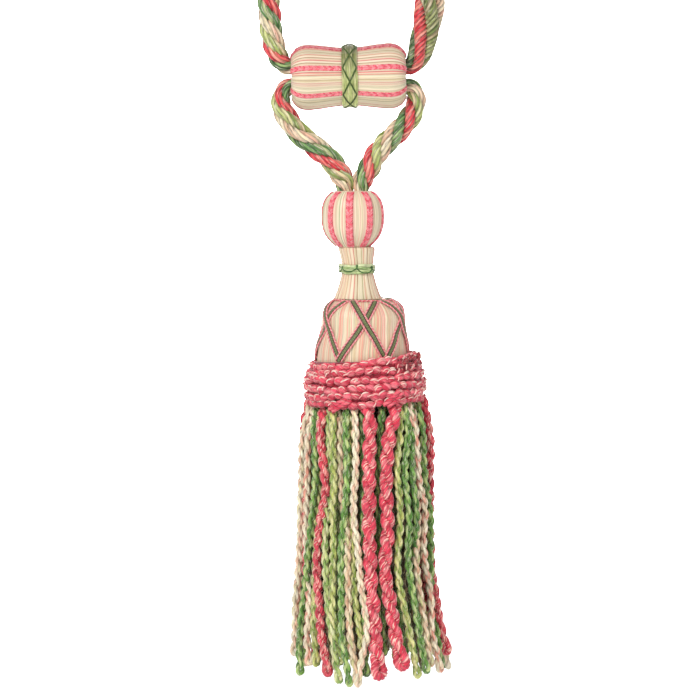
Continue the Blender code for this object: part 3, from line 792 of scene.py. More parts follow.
def chevron(build, places, outs, half_gap, radius, pitch, colours, step=0.42 * MM, flat=0.42):
    """Two cords of opposite twist, side by side along places on a surface with outward directions, pressed flat to a share of their height."""
    both, run = evenly(np.concatenate([places, outs], 1), step)
    places, outs = both[:, :3], unit(both[:, 3:])
    along = tangents(places)
    beside = unit(np.cross(along, outs))
    base, share, crest, lobe = lobed(2, 4, 0.80)
    for hand in (1, -1):
        angle = base[None, :] + (hand * 2 * np.pi * run / pitch + 0.4 * hand + 0.8 * np.sin(run / MM * 0.74 + hand))[:, None]
        wide = half_gap * hand + radius * share[None, :] * np.cos(angle)
        tall = radius * flat * (0.15 + share[None, :] * np.sin(angle))
        ring = places[:, None] + wide[..., None] * beside[:, None] + tall[..., None] * outs[:, None]
        # painted shade darkens the outer edges and the valleys between lobes, and painted light makes the middle, where
        # the two cords meet, paler
        rim = np.clip((np.abs(wide) / (half_gap + radius) - 0.38) / 0.62, 0.0, 1.0)[..., None]
        tint = (np.array(colours)[lobe] * (0.84 + 0.20 * crest)[:, None])[None]
        tint = tint * (1 - 0.55 * rim) + colours[1] * 0.80 * (0.55 * rim)
        tint = tint + (colours[0] * 1.03 - tint) * 0.35 * (1 - rim)
        build.grid(ring[:, ::-1], np.clip(tint, 0, 1)[:, ::-1], along=run, caps=True)


GIMP_COLOURS = (rgb(243, 128, 138), rgb(221, 58, 84))


def make_barrel_gimps(material):
    outer = barrel_outline()
    build = Build()
    # each one goes on round the end's edge, towards the mouth
    end = outer[-1]
    keep = np.concatenate([[(-end[0] - 0.1 * MM, end[1] - 1.2 * MM)], outer, [(end[0] + 0.1 * MM, end[1] - 1.2 * MM)]])
    for k in range(BARREL_GIMPS):
        turn = (BARREL_GIMP_START + 360.0 / BARREL_GIMPS * k + 180.0) % 360.0 - 180.0
        # the one along the top is a little broader, and its colours are darkened as painted shade
        broad = 1.3 if -80 < turn < -60 else 1.0
        theta = math.radians(turn + 4.0 * (broad - 1))
        places = barrel_place(keep[:, 0], keep[:, 1], theta)
        step = np.gradient(keep, axis=0)
        sine, cosine = step[:, 1], np.maximum(step[:, 0], 1e-9)
        outs = unit(np.stack([-sine, -math.cos(theta) * cosine, -math.sin(theta) * cosine], 1))
        # painted shade: the top gimp's colours are darkened to about three quarters
        shades = GIMP_COLOURS if broad == 1.0 else (GIMP_COLOURS[0] * 0.74, GIMP_COLOURS[1] * 0.74)
        chevron(build, places, outs, 0.70 * MM * broad, 0.88 * MM * broad, 4.0 * MM, shades)
    build.piece("barrel_gimps", [material], "gimp_coral", [f"barrel_gimp_{k + 1}" for k in range(BARREL_GIMPS)])


def upright_place(rows_line, axis_u, theta):
    """Places and outward directions down a turned outline; theta from the viewer's side, positive to the right, may change on the way."""
    v, r = rows_line[:, 0], rows_line[:, 1] * GRID
    theta = np.broadcast_to(theta, v.shape)
    places = np.stack([x_of(axis_at(axis_u, v)) + r * np.sin(theta), -r * np.cos(theta), z_of(v)], 1)
    slope = np.gradient(rows_line[:, 1]) / np.maximum(np.gradient(v), 1e-6)
    outs = unit(np.stack([np.sin(theta), -np.cos(theta), slope], 1))
    return places, outs


def make_ball_gimps(material):
    build = Build()
    line = smooth(BALL_OUTLINE, 6)
    line = line[(line[:, 0] > 191.4) & (line[:, 0] < 246.6)]
    for k in range(BALL_GIMPS):
        places, outs = upright_place(line, BALL_U, math.radians(BALL_GIMP_START + 360.0 / BALL_GIMPS * k))
        # each gimp runs down the ball's outline, its two cords a fixed gap apart
        chevron(build, places, outs, 0.94 * MM, 1.18 * MM, 4.4 * MM, GIMP_COLOURS)
    build.piece("ball_gimps", [material], "gimp_coral", [f"ball_gimp_{k + 1}" for k in range(BALL_GIMPS)])


# the dome's cover lies a little inside its outline, so that its lattice keeps to the whole
DOME_COVER = tuple((v, r - 1.2 + 2.6 * math.exp(-(((v - 313.0) / 11.0) ** 2))) for v, r in DOME_OUTLINE)
# the neck's cover flares out a little more over the dome's shoulder
NECK_COVER = (
    (246.9, 17.9),
    (249.4, 18.3),
    (256.0, 16.9),
    (262.5, 15.8),
    (268.0, 14.9),
    (274.0, 16.2),
    (282.0, 18.2),
    (290.0, 20.8),
    (295.6, 23.0),
    (298.6, 24.4),
)


def make_lattice(band_material, cord_material):
    build = Build()
    # a band keeps its slant to the dome's meridians, so it turns faster up where the dome is narrow
    line, run = evenly(smooth(DOME_COVER, 8), 0.8)
    share = np.concatenate([[0.0], np.cumsum(np.diff(run) / (0.5 * (line[1:, 1] + line[:-1, 1])))])
    share = share / np.interp(357.0, line[:, 0], share)
    kept = (line[:, 0] > 299.7) & (line[:, 0] < 359.2)
    line, share = line[kept], share[kept]
    fade = np.clip((share - 0.66) / 0.20, 0.0, 1.0)
    fade = fade * fade * (3 - 2 * fade)
    nodes = []
    for lean, word in ((1, "falling"), (-1, "rising")):
        for k in range(6):
            nodes.append(f"lattice_{word}_{k + 1}")
            end = 30.8 + 60.0 * k
            theta = np.radians(end - lean * LATTICE_SPAN * (1 - share))
            places, outs = upright_place(line, DOME_AXIS, theta)
            over = ((1 - fade) if lean == 1 else fade) * np.clip((line[:, 0] - 299.7) / 4.0, 0.0, 1.0)
            lifted = places + outs * (0.10 * MM + 0.75 * MM * over)[:, None]
            both, run = evenly(np.concatenate([lifted, outs], 1), 0.42 * MM)
            lifted, outs2 = both[:, :3], unit(both[:, 3:])
            beside = np.cross(tangents(lifted), outs2)
            # the flat ribbed middle, with a darker edge on each side
            across = np.array([-1.30, -1.22, -0.95, -0.5, 0.0, 0.5, 0.95, 1.22, 1.30]) * MM
            height = np.array([0.05, 0.36, 0.54, 0.62, 0.64, 0.62, 0.54, 0.36, 0.05]) * MM
            wave = np.cos(2 * np.pi * run / (1.26 * MM))
            rib = 0.07 * MM * wave[:, None] * (np.abs(across) < 1.0 * MM)[None, :]
            ring = lifted[:, None] + across[None, :, None] * beside[:, None] + (height[None, :] + rib)[..., None] * outs2[:, None]
            edge = np.abs(across) > 0.9 * MM
            tint = np.where(edge[None, :, None], BROWN * 1.1, rgb(100, 112, 66)) * np.ones((len(run), 1, 1))
            # painted light on the ribs' crests and painted shade between them, in step with their relief
            tint = tint * (1 + 0.46 * wave[:, None, None] * (~edge)[None, :, None])
            # a closed strip: its underside is one more row of points
            under = lifted[:, None] + np.array([0.9, 0.0, -0.9])[None, :, None] * MM * beside[:, None]
            ring = np.concatenate([ring, under], 1)
            tint = np.concatenate([tint, np.broadcast_to(BROWN, (len(run), 3, 3))], 1)
            build.grid(ring[:, ::-1], tint[:, ::-1], along=run, caps=True)
            for hand in (1, -1):
                cord = lifted + beside * (hand * 1.78 * MM) + outs2 * (0.30 * MM)
                twisted_line(build, cord, 0.56 * MM, 2.2 * MM, hand, (rgb(238, 104, 120), rgb(250, 168, 166)), per_lobe=3, slot=1)
    # a coral cord lies round the dome's shoulder, where the bands' upper ends are tucked under the neck
    t = np.linspace(0, 2 * np.pi, 240)
    for k, (v, r) in enumerate(((299.4, 27.4), (300.1, 29.3))):
        ring = np.stack([x_of(363.3) + r * GRID * np.sin(t), -r * GRID * np.cos(t), z_of(v) + 0.4 * MM + 0.15 * MM * np.sin(5 * t + k)], 1)
        shades = ((rgb(104, 92, 56), rgb(128, 112, 70)), (rgb(230, 92, 108), rgb(250, 160, 158)))[k]
        twisted_line(build, ring, 0.58 * MM, 2.3 * MM, 1 - 2 * k, shades, per_lobe=3, slot=1)
    build.piece("dome_lattice", [band_material, cord_material], "gimp_lattice", nodes)


# ---------------------------------------------------------------- band and binding
def make_barrel_band(band_material, thread_material):
    build = Build()
    sides = 200
    theta = 2 * np.pi * np.arange(sides) / sides
    half, top = 4.3 * MM, 31.6 * GRID
    degrees = (np.degrees(theta) + 180) % 360 - 180
    # painted shade darkens the band towards its top and painted light makes it paler towards its bottom
    dark = (0.5 + 0.5 * np.cos(np.radians(degrees + 92)))[:, None] ** 1.05
    base = rgb(84, 86, 37) * dark + rgb(206, 218, 139) * (1 - dark)
    # the ring that the threads lie on, at half brightness as painted shade between the threads
    section = [(-half + 1.0 * MM, top - 1.9 * MM), (-half + 1.0 * MM, top - 1.0 * MM), (half + 0.2 * MM, top - 1.0 * MM), (half + 0.2 * MM, top - 1.9 * MM)]
    core = np.array([barrel_place(s, r, theta) for s, r in section])
    build.grid(core[:, ::-1], base * 0.5, closed=True, along=np.arange(4) * 2.0 * MM)
    # nine threads wound side by side
    for k in range(9):
        place = 0.6 * MM + (k - 4) / 4 * (half - 0.52 * MM) + (0.10 * np.sin(4 * theta + 1.7 * k) + 0.05 * np.sin(11 * theta + k)) * MM
        r = top - (0.56 + 0.42 * ((k - 4) / 4) ** 4) * MM + 0.08 * MM * np.sin(5 * theta + 2.3 * k)
        line = barrel_place(place, r, theta)
        along = tangents(line, True)
        out = square_to(unit(line - barrel_place(place, 0.0, theta)), along)
        angle = np.broadcast_to(2 * np.pi * np.arange(6) / 6, (sides, 6))
        streak = (0.88, 1.06, 0.94, 1.12, 0.90, 1.04, 0.86, 1.08, 0.92)[k] + 0.16 * np.sin(7 * theta + 2.6 * k) + 0.10 * np.sin(19 * theta + 4.1 * k)
        pale = np.clip(np.sin(3 * theta + 1.9 * k + 0.7), 0.0, 1.0)[:, None] ** 2 * 0.45
        tint = (base * (1 - pale) + rgb(226, 216, 168) * pale) * streak[:, None]
        build.tube(line, (along, out, np.cross(along, out)), np.full((sides, 6), 0.60 * MM), angle, np.clip(tint[:, None, :], 0, 1), closed=True, caps=False, along=theta * 17 * MM)
    # one dark thread goes round twice in a zigzag, so that it crosses itself between the gimps and turns at the edges over them
    t = np.linspace(0, 4 * np.pi, 640, endpoint=False)
    wave = np.arcsin(np.sin(3.5 * (t - math.radians(-41.7)))) / (np.pi / 2)
    for off in (-0.19, 0.19):
        place = 0.6 * MM + (half - 0.35 * MM) * wave * (1 - 0.06 * wave**2) + off * MM
        line = barrel_place(place, top + 0.10 * MM - 0.42 * MM * wave**4, t)
        along = tangents(line, True)
        out = square_to(unit(line - barrel_place(place, 0.0, t)), along)
        angle = np.broadcast_to(2 * np.pi * np.arange(5) / 5, (len(t), 5))
        build.tube(line, (along, out, np.cross(along, out)), np.full((len(t), 5), 0.32 * MM), angle, rgb(66, 88, 28), closed=True, slot=1, caps=False, along=t * 17 * MM)
    build.piece("barrel_band_wound", [band_material, thread_material], "satin_green", ["barrel_band"])


def make_binding(band_material, thread_material):
    build = Build()
    sides, centre_v = 200, 268.4
    theta = 2 * np.pi * np.arange(sides) / sides
    # four uneven wound threads
    for k in range(4):
        z = z_of(centre_v) + (1.5 - k) * 1.18 * MM
        wave = 0.28 * MM * np.sin(3 * theta + 1.9 * k) + 0.15 * MM * np.sin(7 * theta + k)
        r = 17.5 * GRID - 0.5 * MM + 0.25 * MM * np.sin(2 * theta + 2.2 * k)
        line = np.stack([x_of(NECK_U) + r * np.sin(theta), -r * np.cos(theta), z + wave], 1)
        along = tangents(line, True)
        out = square_to(np.stack([np.sin(theta), -np.cos(theta), 0 * theta], 1), along)
        angle = np.broadcast_to(2 * np.pi * np.arange(8) / 8, (sides, 8))
        colour = (rgb(200, 210, 160), rgb(148, 172, 108), rgb(190, 202, 146), rgb(162, 182, 120))[k]
        streak = 1 + 0.10 * np.sin(9 * theta + 2.6 * k) + 0.08 * np.sin(23 * theta + 4.1 * k)
        build.tube(line, (along, out, np.cross(along, out)), np.full((sides, 8), 0.86 * MM), angle, np.clip(colour * streak[:, None], 0, 1)[:, None, :], closed=True, caps=False, along=theta * 9 * MM)
    # the dark thread that waves over them, with a small loop at each upper turn
    t = np.linspace(0, 2 * np.pi, 560, endpoint=False)
    r = 17.5 * GRID + 0.42 * MM
    turned = t - (1.85 + 0.5 * np.sin(2 * t + 1.0)) * MM / r * np.sin(7 * t) + 0.05 * np.sin(3 * t)
    z = z_of(centre_v) + 0.2 * MM + (1.75 + 0.35 * np.sin(3 * t + 0.6)) * MM * np.cos(7 * t) + 0.3 * MM * np.sin(4 * t + 2.0)
    line = np.stack([x_of(NECK_U) + r * np.sin(turned), -r * np.cos(turned), z], 1)
    along = tangents(line, True)
    out = square_to(np.stack([np.sin(turned), -np.cos(turned), 0 * t], 1), along)
    angle = np.broadcast_to(2 * np.pi * np.arange(6) / 6, (len(t), 6))
    build.tube(line, (along, out, np.cross(along, out)), np.full((len(t), 6), 0.34 * MM), angle, rgb(54, 98, 38), closed=True, slot=1, caps=False, along=t * 9 * MM)
    build.piece("neck_binding_wound", [band_material, thread_material], "satin_green", ["neck_binding"])


# ---------------------------------------------------------------- twisted cords that double back in a loop
HUG = 0.80  # how far a ply's centre is from its cord's, in ply radii, so that the two plies press into each other


def plied_cord(build, line, ply_r, pitch, yarn_pitch, colours, loop, hug=HUG, lobes=3, per_lobe=3, step=0.85 * MM, phase=0.0, valley=0.80, slot=0, loop_turn=0.0):
    """A two-ply cord made of one strand: down the line, round the loop at its end, and back up. line runs from the heading to the loop's start."""
    fine, run = evenly(line, 0.5 * MM)
    along = tangents(fine)
    # the section is read from the viewer's side, so that phase and loop_turn mean the same on every cord
    front = square_to(np.broadcast_to((0.0, -1.0, 0.0), fine.shape), along)
    side = np.cross(along, front)
    left = 2 * np.pi * (run[-1] - run) / pitch
    half_turn = loop_turn - left + 0.35 * np.sin(run / MM * 0.13 + 2.1 * phase)
    out = np.cos(half_turn)[:, None] * side + np.sin(half_turn)[:, None] * front
    sway = hug * (1 + 0.10 * np.sin(run / MM * 0.23 + phase))
    down = fine + out * (ply_r * sway)[:, None]
    back = fine - out * (ply_r * sway)[:, None]
    wide, tall = loop
    a, d = out[-1], along[-1]
    r0 = ply_r * hug
    shape = ((0.25, wide * 0.72 + r0 * 0.28), (0.55, wide), (0.84, wide * 0.74), (1.0, 0.0), (0.84, -wide * 0.74), (0.55, -wide), (0.25, -wide * 0.72 - r0 * 0.28))
    turn = np.array([fine[-1] + d * (t * tall) + a * w for t, w in shape])
    turn = smooth(np.concatenate([down[-1:], turn, back[-1:]]), 6)[1:-1]
    path = np.concatenate([down, turn, back[::-1]])
    path, where = evenly(path, step)
    path[1:-1] = 0.25 * path[:-2] + 0.5 * path[1:-1] + 0.25 * path[2:]
    frame_k = carried_frame(path)
    base, share, crest, lobe = lobed(lobes, per_lobe, valley)
    angle = base[None, :] + (2 * np.pi * where / yarn_pitch + phase)[:, None]
    swell = 1 + 0.08 * np.sin(where / MM * 0.41 + 2 * phase) + 0.05 * np.sin(where / MM * 1.13 + phase)
    # it is a little fatter where it turns back
    swell = swell * (1 + 0.12 * np.exp(-(((where - where[-1] / 2) / (2.2 * ply_r)) ** 2)))
    radius = ply_r * swell[:, None] * share[None, :]
    # painted shade in the valleys between the yarns
    shade = 0.76 + 0.33 * crest
    # the strand that comes back has the colours' second half
    there = np.array(colours[:3])[lobe % 3] * shade[:, None]
    again = np.array(colours[3:])[lobe % 3] * shade[:, None]
    second = np.clip((where - where[-1] / 2) / (4 * MM) + 0.5, 0.0, 1.0)[:, None, None]
    tint = there[None] * (1 - second) + again[None] * second
    # the side that is turned into the cord is in shade
    middle = np.concatenate([fine[:, :3], np.repeat(fine[-1:], 1, 0), fine[::-1, :3]])
    spot = np.clip(np.searchsorted(run_of(middle), where / where[-1] * run_of(middle)[-1]), 0, len(middle) - 1)
    outward = unit(path - middle[spot])
    facing = np.cos(angle) * (frame_k[1] * outward).sum(1)[:, None] + np.sin(angle) * (frame_k[2] * outward).sum(1)[:, None]
    tint = tint * (0.76 + 0.24 * np.clip(0.55 + 0.9 * facing, 0.0, 1.0))[..., None]
    wave = 1 + 0.08 * np.sin(where / MM * 0.17 + 3 * phase) + 0.05 * np.sin(where / MM * 0.61 + phase)
    build.tube(path, frame_k, radius, angle, np.clip(tint * wave[:, None, None], 0, 1), along=where, slot=slot)


# colours of the three yarns in each of a cord's two plies
CORD_COLOURS = {
    "cream": (rgb(249, 236, 206), rgb(244, 213, 180), rgb(242, 230, 195), rgb(249, 238, 210), rgb(240, 196, 167), rgb(234, 223, 180)),
    "cream_pink": (rgb(246, 225, 191), rgb(236, 170, 144), rgb(249, 233, 204), rgb(244, 218, 184), rgb(228, 153, 129), rgb(246, 229, 199)),
    "green": (rgb(118, 162, 71), rgb(173, 199, 115), rgb(81, 126, 44), rgb(105, 150, 62), rgb(188, 205, 130), rgb(86, 135, 51)),
    "deep_green": (rgb(97, 146, 58), rgb(146, 182, 93), rgb(64, 109, 38), rgb(103, 151, 64), rgb(159, 190, 105), rgb(70, 118, 43)),
    "pale": (rgb(199, 209, 134), rgb(219, 222, 162), rgb(151, 180, 93), rgb(190, 201, 123), rgb(224, 215, 160), rgb(132, 167, 81)),
    "olive": (rgb(193, 199, 115), rgb(214, 216, 144), rgb(146, 169, 77), rgb(184, 190, 101), rgb(220, 216, 143), rgb(135, 158, 67)),
    "tan_pink": (rgb(234, 203, 166), rgb(242, 224, 189), rgb(217, 169, 133), rgb(228, 192, 155), rgb(238, 215, 180), rgb(202, 196, 139)),
    # tan and brown, used only inside the skirt, are darkened colours: painted shade
    "tan": (rgb(186, 156, 112), rgb(206, 180, 138), rgb(142, 132, 80), rgb(172, 142, 98), rgb(198, 170, 128), rgb(128, 116, 68)),
    "painted_shade_brown": (rgb(120, 96, 62), rgb(146, 126, 86), rgb(88, 92, 48), rgb(106, 82, 54), rgb(134, 114, 76), rgb(80, 84, 44)),
    "coral": (rgb(224, 76, 90), rgb(234, 118, 120), rgb(205, 48, 68), rgb(218, 66, 83), rgb(238, 146, 138), rgb(200, 43, 63)),
    "coral_light": (rgb(236, 78, 99), rgb(244, 119, 128), rgb(223, 56, 80), rgb(232, 71, 93), rgb(244, 130, 136), rgb(219, 50, 74)),
}
THIN, MEDIUM, THICK = 2.25, 2.75, 4.1
# the skirt's outer cords that face the viewer, left to right: (colour, radius in mm, v of the end, ((v, u, how far behind the outermost cords in mm), ...))
FRONT_CORDS = (
    ("coral", MEDIUM, 655, ((397, 309, 3.5), (404, 308, 4), (412, 306, 4.5), (425, 304.2, 4.8), (440, 303.6, 4.8), (452, 304.2, 5.2), (470, 305.6, 6), (500, 306.5, 8), (560, 306.5, 9), (640, 304, 10))),
    ("cream", THIN, 658, ((397, 311, 0), (404, 310, 0), (411, 308, 0), (427, 303.9, 0), (440, 302.2, 0), (471, 301.7, 0), (507, 300.4, 0), (546, 299.8, 0), (573, 298, 0), (606, 295.6, 0), (638, 294.8, 0))),
    ("cream_pink", THIN, 666, ((397, 314, 0), (413, 312.6, 0), (427, 309.6, 0), (440, 308.2, 0), (471, 307.6, 0), (507, 306.8, 0.5), (530, 306.3, 1.8), (560, 307.5, 3.4), (590, 309, 3.0), (606, 309.2, 1.4), (622, 308.3, 0.4), (638, 307.4, 0), (652, 308.6, 0))),
    ("green", THIN, 677, ((397, 317, 0), (407, 315.6, 0), (422, 314.6, 0), (449, 315, 0), (476, 316, 0), (503, 313.3, 0), (530, 311, 0), (551, 308.3, 0), (573, 306.7, 0), (595, 304.5, 0), (617, 301.8, 0), (633, 300.7, 0), (649, 299.4, 0), (662, 299.8, 0))),
    ("olive", THIN, 666.5, ((397, 320, 4), (480, 319, 4.5), (560, 315.5, 4), (606, 314.6, 2.6), (627, 314, 1.6), (644, 315.2, 1))),
    ("coral", MEDIUM, 676, ((397, 323, 0), (409, 322.7, 0), (422, 321, 0), (436, 321, 0), (449, 322.7, 0), (467, 324.5, 0), (485, 326.2, 0), (494, 324.8, 0), (507, 322.7, 0), (520, 320.9, 0), (534, 319, 0), (557, 317.6, 0), (573, 317.6, 0), (590, 318.6, 0), (606, 320.2, 0), (622, 320.7, 0), (638, 322.4, 0), (655, 325.3, 0))),
    ("pale", THIN, 682, ((397, 329, 3.5), (440, 329.5, 3.5), (480, 329, 3.4), (507, 327.5, 2), (525, 326.3, 0.7), (546, 325.3, 0), (579, 326.3, 0), (606, 328.4, 0), (622, 330.5, 0), (638, 332.7, 0), (655, 334.9, 0), (669, 337.4, 0))),
    ("olive", THIN, 664, ((397, 334, 0), (409, 333.5, 0), (445, 333.2, 0), (462, 333.5, 0), (480, 334.3, 0), (498, 332.8, 0), (525, 333.4, 0), (546, 333.8, 0), (579, 332.9, 0), (606, 333.2, 0.6), (622, 335, 1.4), (640, 337.5, 2.4))),
    ("tan_pink", THIN, 682, ((397, 340, 3.6), (480, 341.5, 3.6), (515, 345.8, 3), (530, 347.3, 2), (551, 347.6, 1.2), (568, 347.6, 1), (600, 348.6, 0.6), (617, 349.2, 0.2), (633, 350.2, 0), (644, 351.7, 0), (660, 354.4, 0.8))),
    ("green", THIN, 685, ((397, 346, 0), (436, 346, 0), (445, 347, 0), (471, 346.4, 0), (480, 346.8, 0), (507, 344.6, 0), (534, 342, 0), (551, 341.2, 0), (568, 340.8, 0), (600, 341.6, 0), (627, 341.6, 0), (644, 343, 0), (655, 345.4, 0), (670, 347.6, 0))),
    ("cream", THIN, 685, ((397, 354.4, 0), (409, 354.4, 0), (422, 355.3, 0), (454, 355.7, 0), (467, 355.6, 0), (480, 354.4, 0), (494, 353.6, 0), (507, 353.8, 0), (520, 354.4, 0), (530, 355.8, 0), (541, 357.3, 0), (557, 358.8, 0), (573, 360, 0), (590, 362, 0), (606, 364.7, -0.6), (617, 366.3, -0.8), (627, 366.9, -0.8), (638, 365.8, -0.5), (649, 363, 0), (660, 360.9, 0), (671, 359.2, 0))),
    ("olive", THIN, 649, ((397, 350.5, 4.5), (500, 351.5, 4), (557, 353.9, 3.6), (573, 353.9, 3.2), (590, 354.6, 2.8), (606, 356, 2.6), (622, 358.6, 2.6))),
    ("deep_green", THIN, 675, ((397, 362, 5), (560, 363.5, 5), (620, 364, 4.5), (650, 365.2, 3.6))),
    ("deep_green", THIN, 655, ((397, 380.5, 2.4), (412, 381.5, 2.6), (430, 379.5, 4.6), (480, 378, 6.5), (560, 378, 6.5), (610, 381, 6.0))),
    ("coral_light", THICK, 678, ((397, 367, 0), (409, 367.4, 0), (427, 370.2, 0), (454, 368.9, 0), (480, 368.7, 0), (534, 369, 0), (551, 369.6, 0), (573, 370.6, 0), (595, 372, 0), (611, 373.2, 0), (633, 375.4, 0), (649, 376.8, 0))),
    ("coral_light", THICK, 669, ((397, 394.8, 0), (409, 393.9, 0), (418, 392.6, 0), (427, 389.6, 0), (440, 387.7, 0), (454, 386.6, 0), (480, 385.9, 0), (498, 386.1, 0), (516, 387.2, 0), (534, 387, 0), (546, 385.6, 0), (562, 384.4, 0), (579, 385.8, 0), (595, 388.6, 0), (611, 391.4, 0), (627, 393.8, 0), (644, 397.6, 0))),
    ("olive", THIN, 677.5, ((397, 401, 1.6), (422, 399.5, 1.2), (436, 399, 0.8), (449, 397.4, 0.6), (467, 396.6, 0.4), (476, 396.6, 0), (489, 398.4, 0), (503, 399.3, 0), (516, 399.9, 0), (534, 398.7, 0), (546, 397.4, 0), (562, 397, 0), (579, 398.4, 0), (595, 401.3, 0), (611, 404.6, 0), (622, 407.2, 0), (638, 410, 0), (655, 413.4, 0))),
    ("green", THIN, 673, ((397, 404, 0), (413, 405, 0), (427, 407.4, 0), (440, 406.4, 0), (454, 404.4, 0), (467, 404.2, 0), (480, 404.8, 0), (494, 406.4, 0), (507, 408, 0), (520, 408.6, 0), (534, 407.8, 0), (546, 407.2, 0), (562, 407.9, 0), (579, 410, 0), (595, 412.7, 0), (611, 415.4, 0), (627, 418.1, 0), (644, 420.6, 0), (655, 423, 0))),
    ("deep_green", THIN, 664, ((397, 409, 0), (427, 411.4, 1.2), (445, 410.8, 0.8), (462, 411.2, 0), (476, 412, 0), (489, 413.6, 0), (503, 415.2, 0), (516, 415.6, 0.6), (530, 414.8, 1.4), (546, 414, 2.4), (579, 415.5, 3.2), (611, 419, 3.6), (640, 423, 3.6))),
    ("tan_pink", THIN, 667, ((397, 414, 4), (480, 415, 4.2), (515, 417.4, 3), (530, 417, 1.6), (541, 416.4, 0.8), (557, 415.8, 0.2), (573, 416.8, 0), (584, 418.2, 0), (606, 421.4, 0), (622, 423.8, 0), (633, 425.2, 0), (647, 427.6, 0))),
    ("cream_pink", THIN, 673.5, ((397, 407, -0.6), (404, 407.6, -0.8), (413, 410.2, -0.9), (427, 414.4, -0.6), (440, 415.6, 0), (454, 416.7, 0), (467, 417.4, 0), (480, 419, 0), (494, 422.2, 0), (507, 424.6, 0), (520, 424.3, 0), (534, 423.4, 0), (546, 423.2, 0), (562, 424.7, 0), (573, 426.3, 0), (584, 428.8, 0), (600, 430.6, 0), (611, 431.1, 0), (627, 431, 0), (638, 432.8, 0), (652, 436, 0))),
    ("green", THIN, 667, ((397, 415.6, 0), (409, 417.6, 0), (422, 421.2, 0), (436, 422.8, 0), (454, 422.9, 0), (467, 424, 0), (480, 425.2, 0), (494, 427.4, 0), (507, 429.4, 0), (520, 430.6, 0), (534, 430.4, 0), (551, 430.8, 0), (568, 430.9, 0.6), (585, 431.6, 2.4), (600, 433, 4.2), (611, 434.4, 4.8), (633, 436.6, 4.6), (648, 438.6, 4))),
    ("coral", MEDIUM, 657.5, ((397, 421.6, 0), (404, 423, 0), (418, 426.4, 0), (431, 428.8, 0), (445, 429.9, 0), (458, 430, 0), (480, 429.8, 0.8), (494, 430.2, 2.6), (507, 430, 4.6), (540, 430.4, 5.4), (573, 432, 5), (592, 435, 3), (606, 437, 1), (617, 438.8, 0.2), (627, 440.8, 0), (638, 443.4, 0))),
)
# the outer cords behind, going on round: (colour, radius in mm)
BACK_CORDS = (
    ("cream", THIN),
    ("deep_green", THIN),
    ("coral", MEDIUM),
    ("pale", THIN),
    ("cream_pink", THIN),
    ("green", THIN),
    ("coral_light", THICK),
    ("coral_light", THICK),
    ("olive", THIN),
    ("green", THIN),
    ("cream", THIN),
    ("coral", MEDIUM),
    ("pale", THIN),
    ("green", THIN),
    ("tan_pink", THIN),
)
BACK_START, BACK_STOP = 79.0, 276.0
# the tan and brown inner cords are darkened colours: painted shade of the skirt's inside
INNER_COLOURS = ("tan", "olive", "deep_green", "painted_shade_brown", "tan", "deep_green", "painted_shade_brown", "tan", "pale", "painted_shade_brown")
INNER_CORDS = 20
FILLER_CORDS, FILLER_REACH = 26, 21.6 * MM
INNERMOST_CORDS, INNERMOST_REACH = 18, 14.5 * MM


def skirt_point(v, angle, outer, swing=0.0):
    """A cord's centre at levels v and angles from the viewer's side, as the part places it."""
    table = smooth(np.array(SKIRT_STATIONS), 6)
    reach = np.interp(v, table[:, 0], table[:, 1 if outer else 2]) * MM
    axis = np.interp(v, table[:, 0], table[:, 3])
    turn = np.radians(angle)
    x, y = (reach + swing) * np.sin(turn), -(reach + swing) * np.cos(turn)
    hold = np.clip((480.0 - v) / 70.0, 0.0, 1.0)
    lift = x * math.tan(math.radians(RUFF_TILT)) * hold
    return np.stack([x_of(axis) + x, y, z_of(v) + lift], -1)


def cord_sizes(radius):
    """(ply radius, pitch, yarn pitch, loop, how close the plies are, yarns, points in a yarn)"""
    if radius == THICK:
        return 2.55 * MM, 21.5 * MM, 9.0 * MM, (2.45 * MM, 6.4 * MM), 0.66, 4, 3
    if radius == MEDIUM:
        return 1.66 * MM, 15.0 * MM, 9.5 * MM, (1.8 * MM, 4.9 * MM), 0.74, 4, 3
    return 1.30 * MM, 14.0 * MM, 11.5 * MM, (1.36 * MM, 3.8 * MM), 0.80, 3, 3


def front_line(row):
    """The centreline of one of the cords that face the viewer, from the heading to where its loop begins."""
    _, radius, v_end, rows = row
    ply_r, _, _, (_, tall) = cord_sizes(radius)[:4]
    table = smooth(np.array(SKIRT_STATIONS), 6)
    stop = v_end - (tall + ply_r) / GRID
    rows = [r for r in rows if r[0] < stop - 3]
    (v1, u1, d1), (v2, u2, d2) = rows[-2:]
    go = min(1.0, (stop - v2) / (v2 - v1))
    rows.append((stop, u2 + (u2 - u1) * go, d2))
    line = smooth(np.array(rows, float), 8)
    v, u, behind = line.T
    reach = np.interp(v, table[:, 0], table[:, 1])
    axis = np.interp(v, table[:, 0], table[:, 3])
    sine = np.clip((u - axis) * GRID / MM / reach, -0.985, 0.985)
    y = -reach * MM * np.sqrt(1 - sine**2) + behind * MM
    hold = np.clip((480.0 - v) / 70.0, 0.0, 1.0)
    lift = (u - axis) * GRID * math.tan(math.radians(RUFF_TILT)) * hold
    drop = np.clip((v - 480.0) / 120.0, 0.0, 1.0)
    z = z_of(v) + lift + (-y) * math.tan(math.radians(VIEW_UP)) * drop
    return np.stack([x_of(u), y, z], 1)


def hanging_line(angle, end_angle, end_v, outer, phase, tall):
    v = np.linspace(397.0, end_v - tall / GRID, 40)
    share = np.clip((v - 480.0) / (end_v - 480.0), 0.0, 1.0)
    sway = 1.6 * np.sin(v * 0.028 + 2.3 * phase) * np.clip((v - 420.0) / 60.0, 0.0, 1.0)
    return skirt_point(v, angle + (end_angle - angle) * share**1.5 + sway, outer)


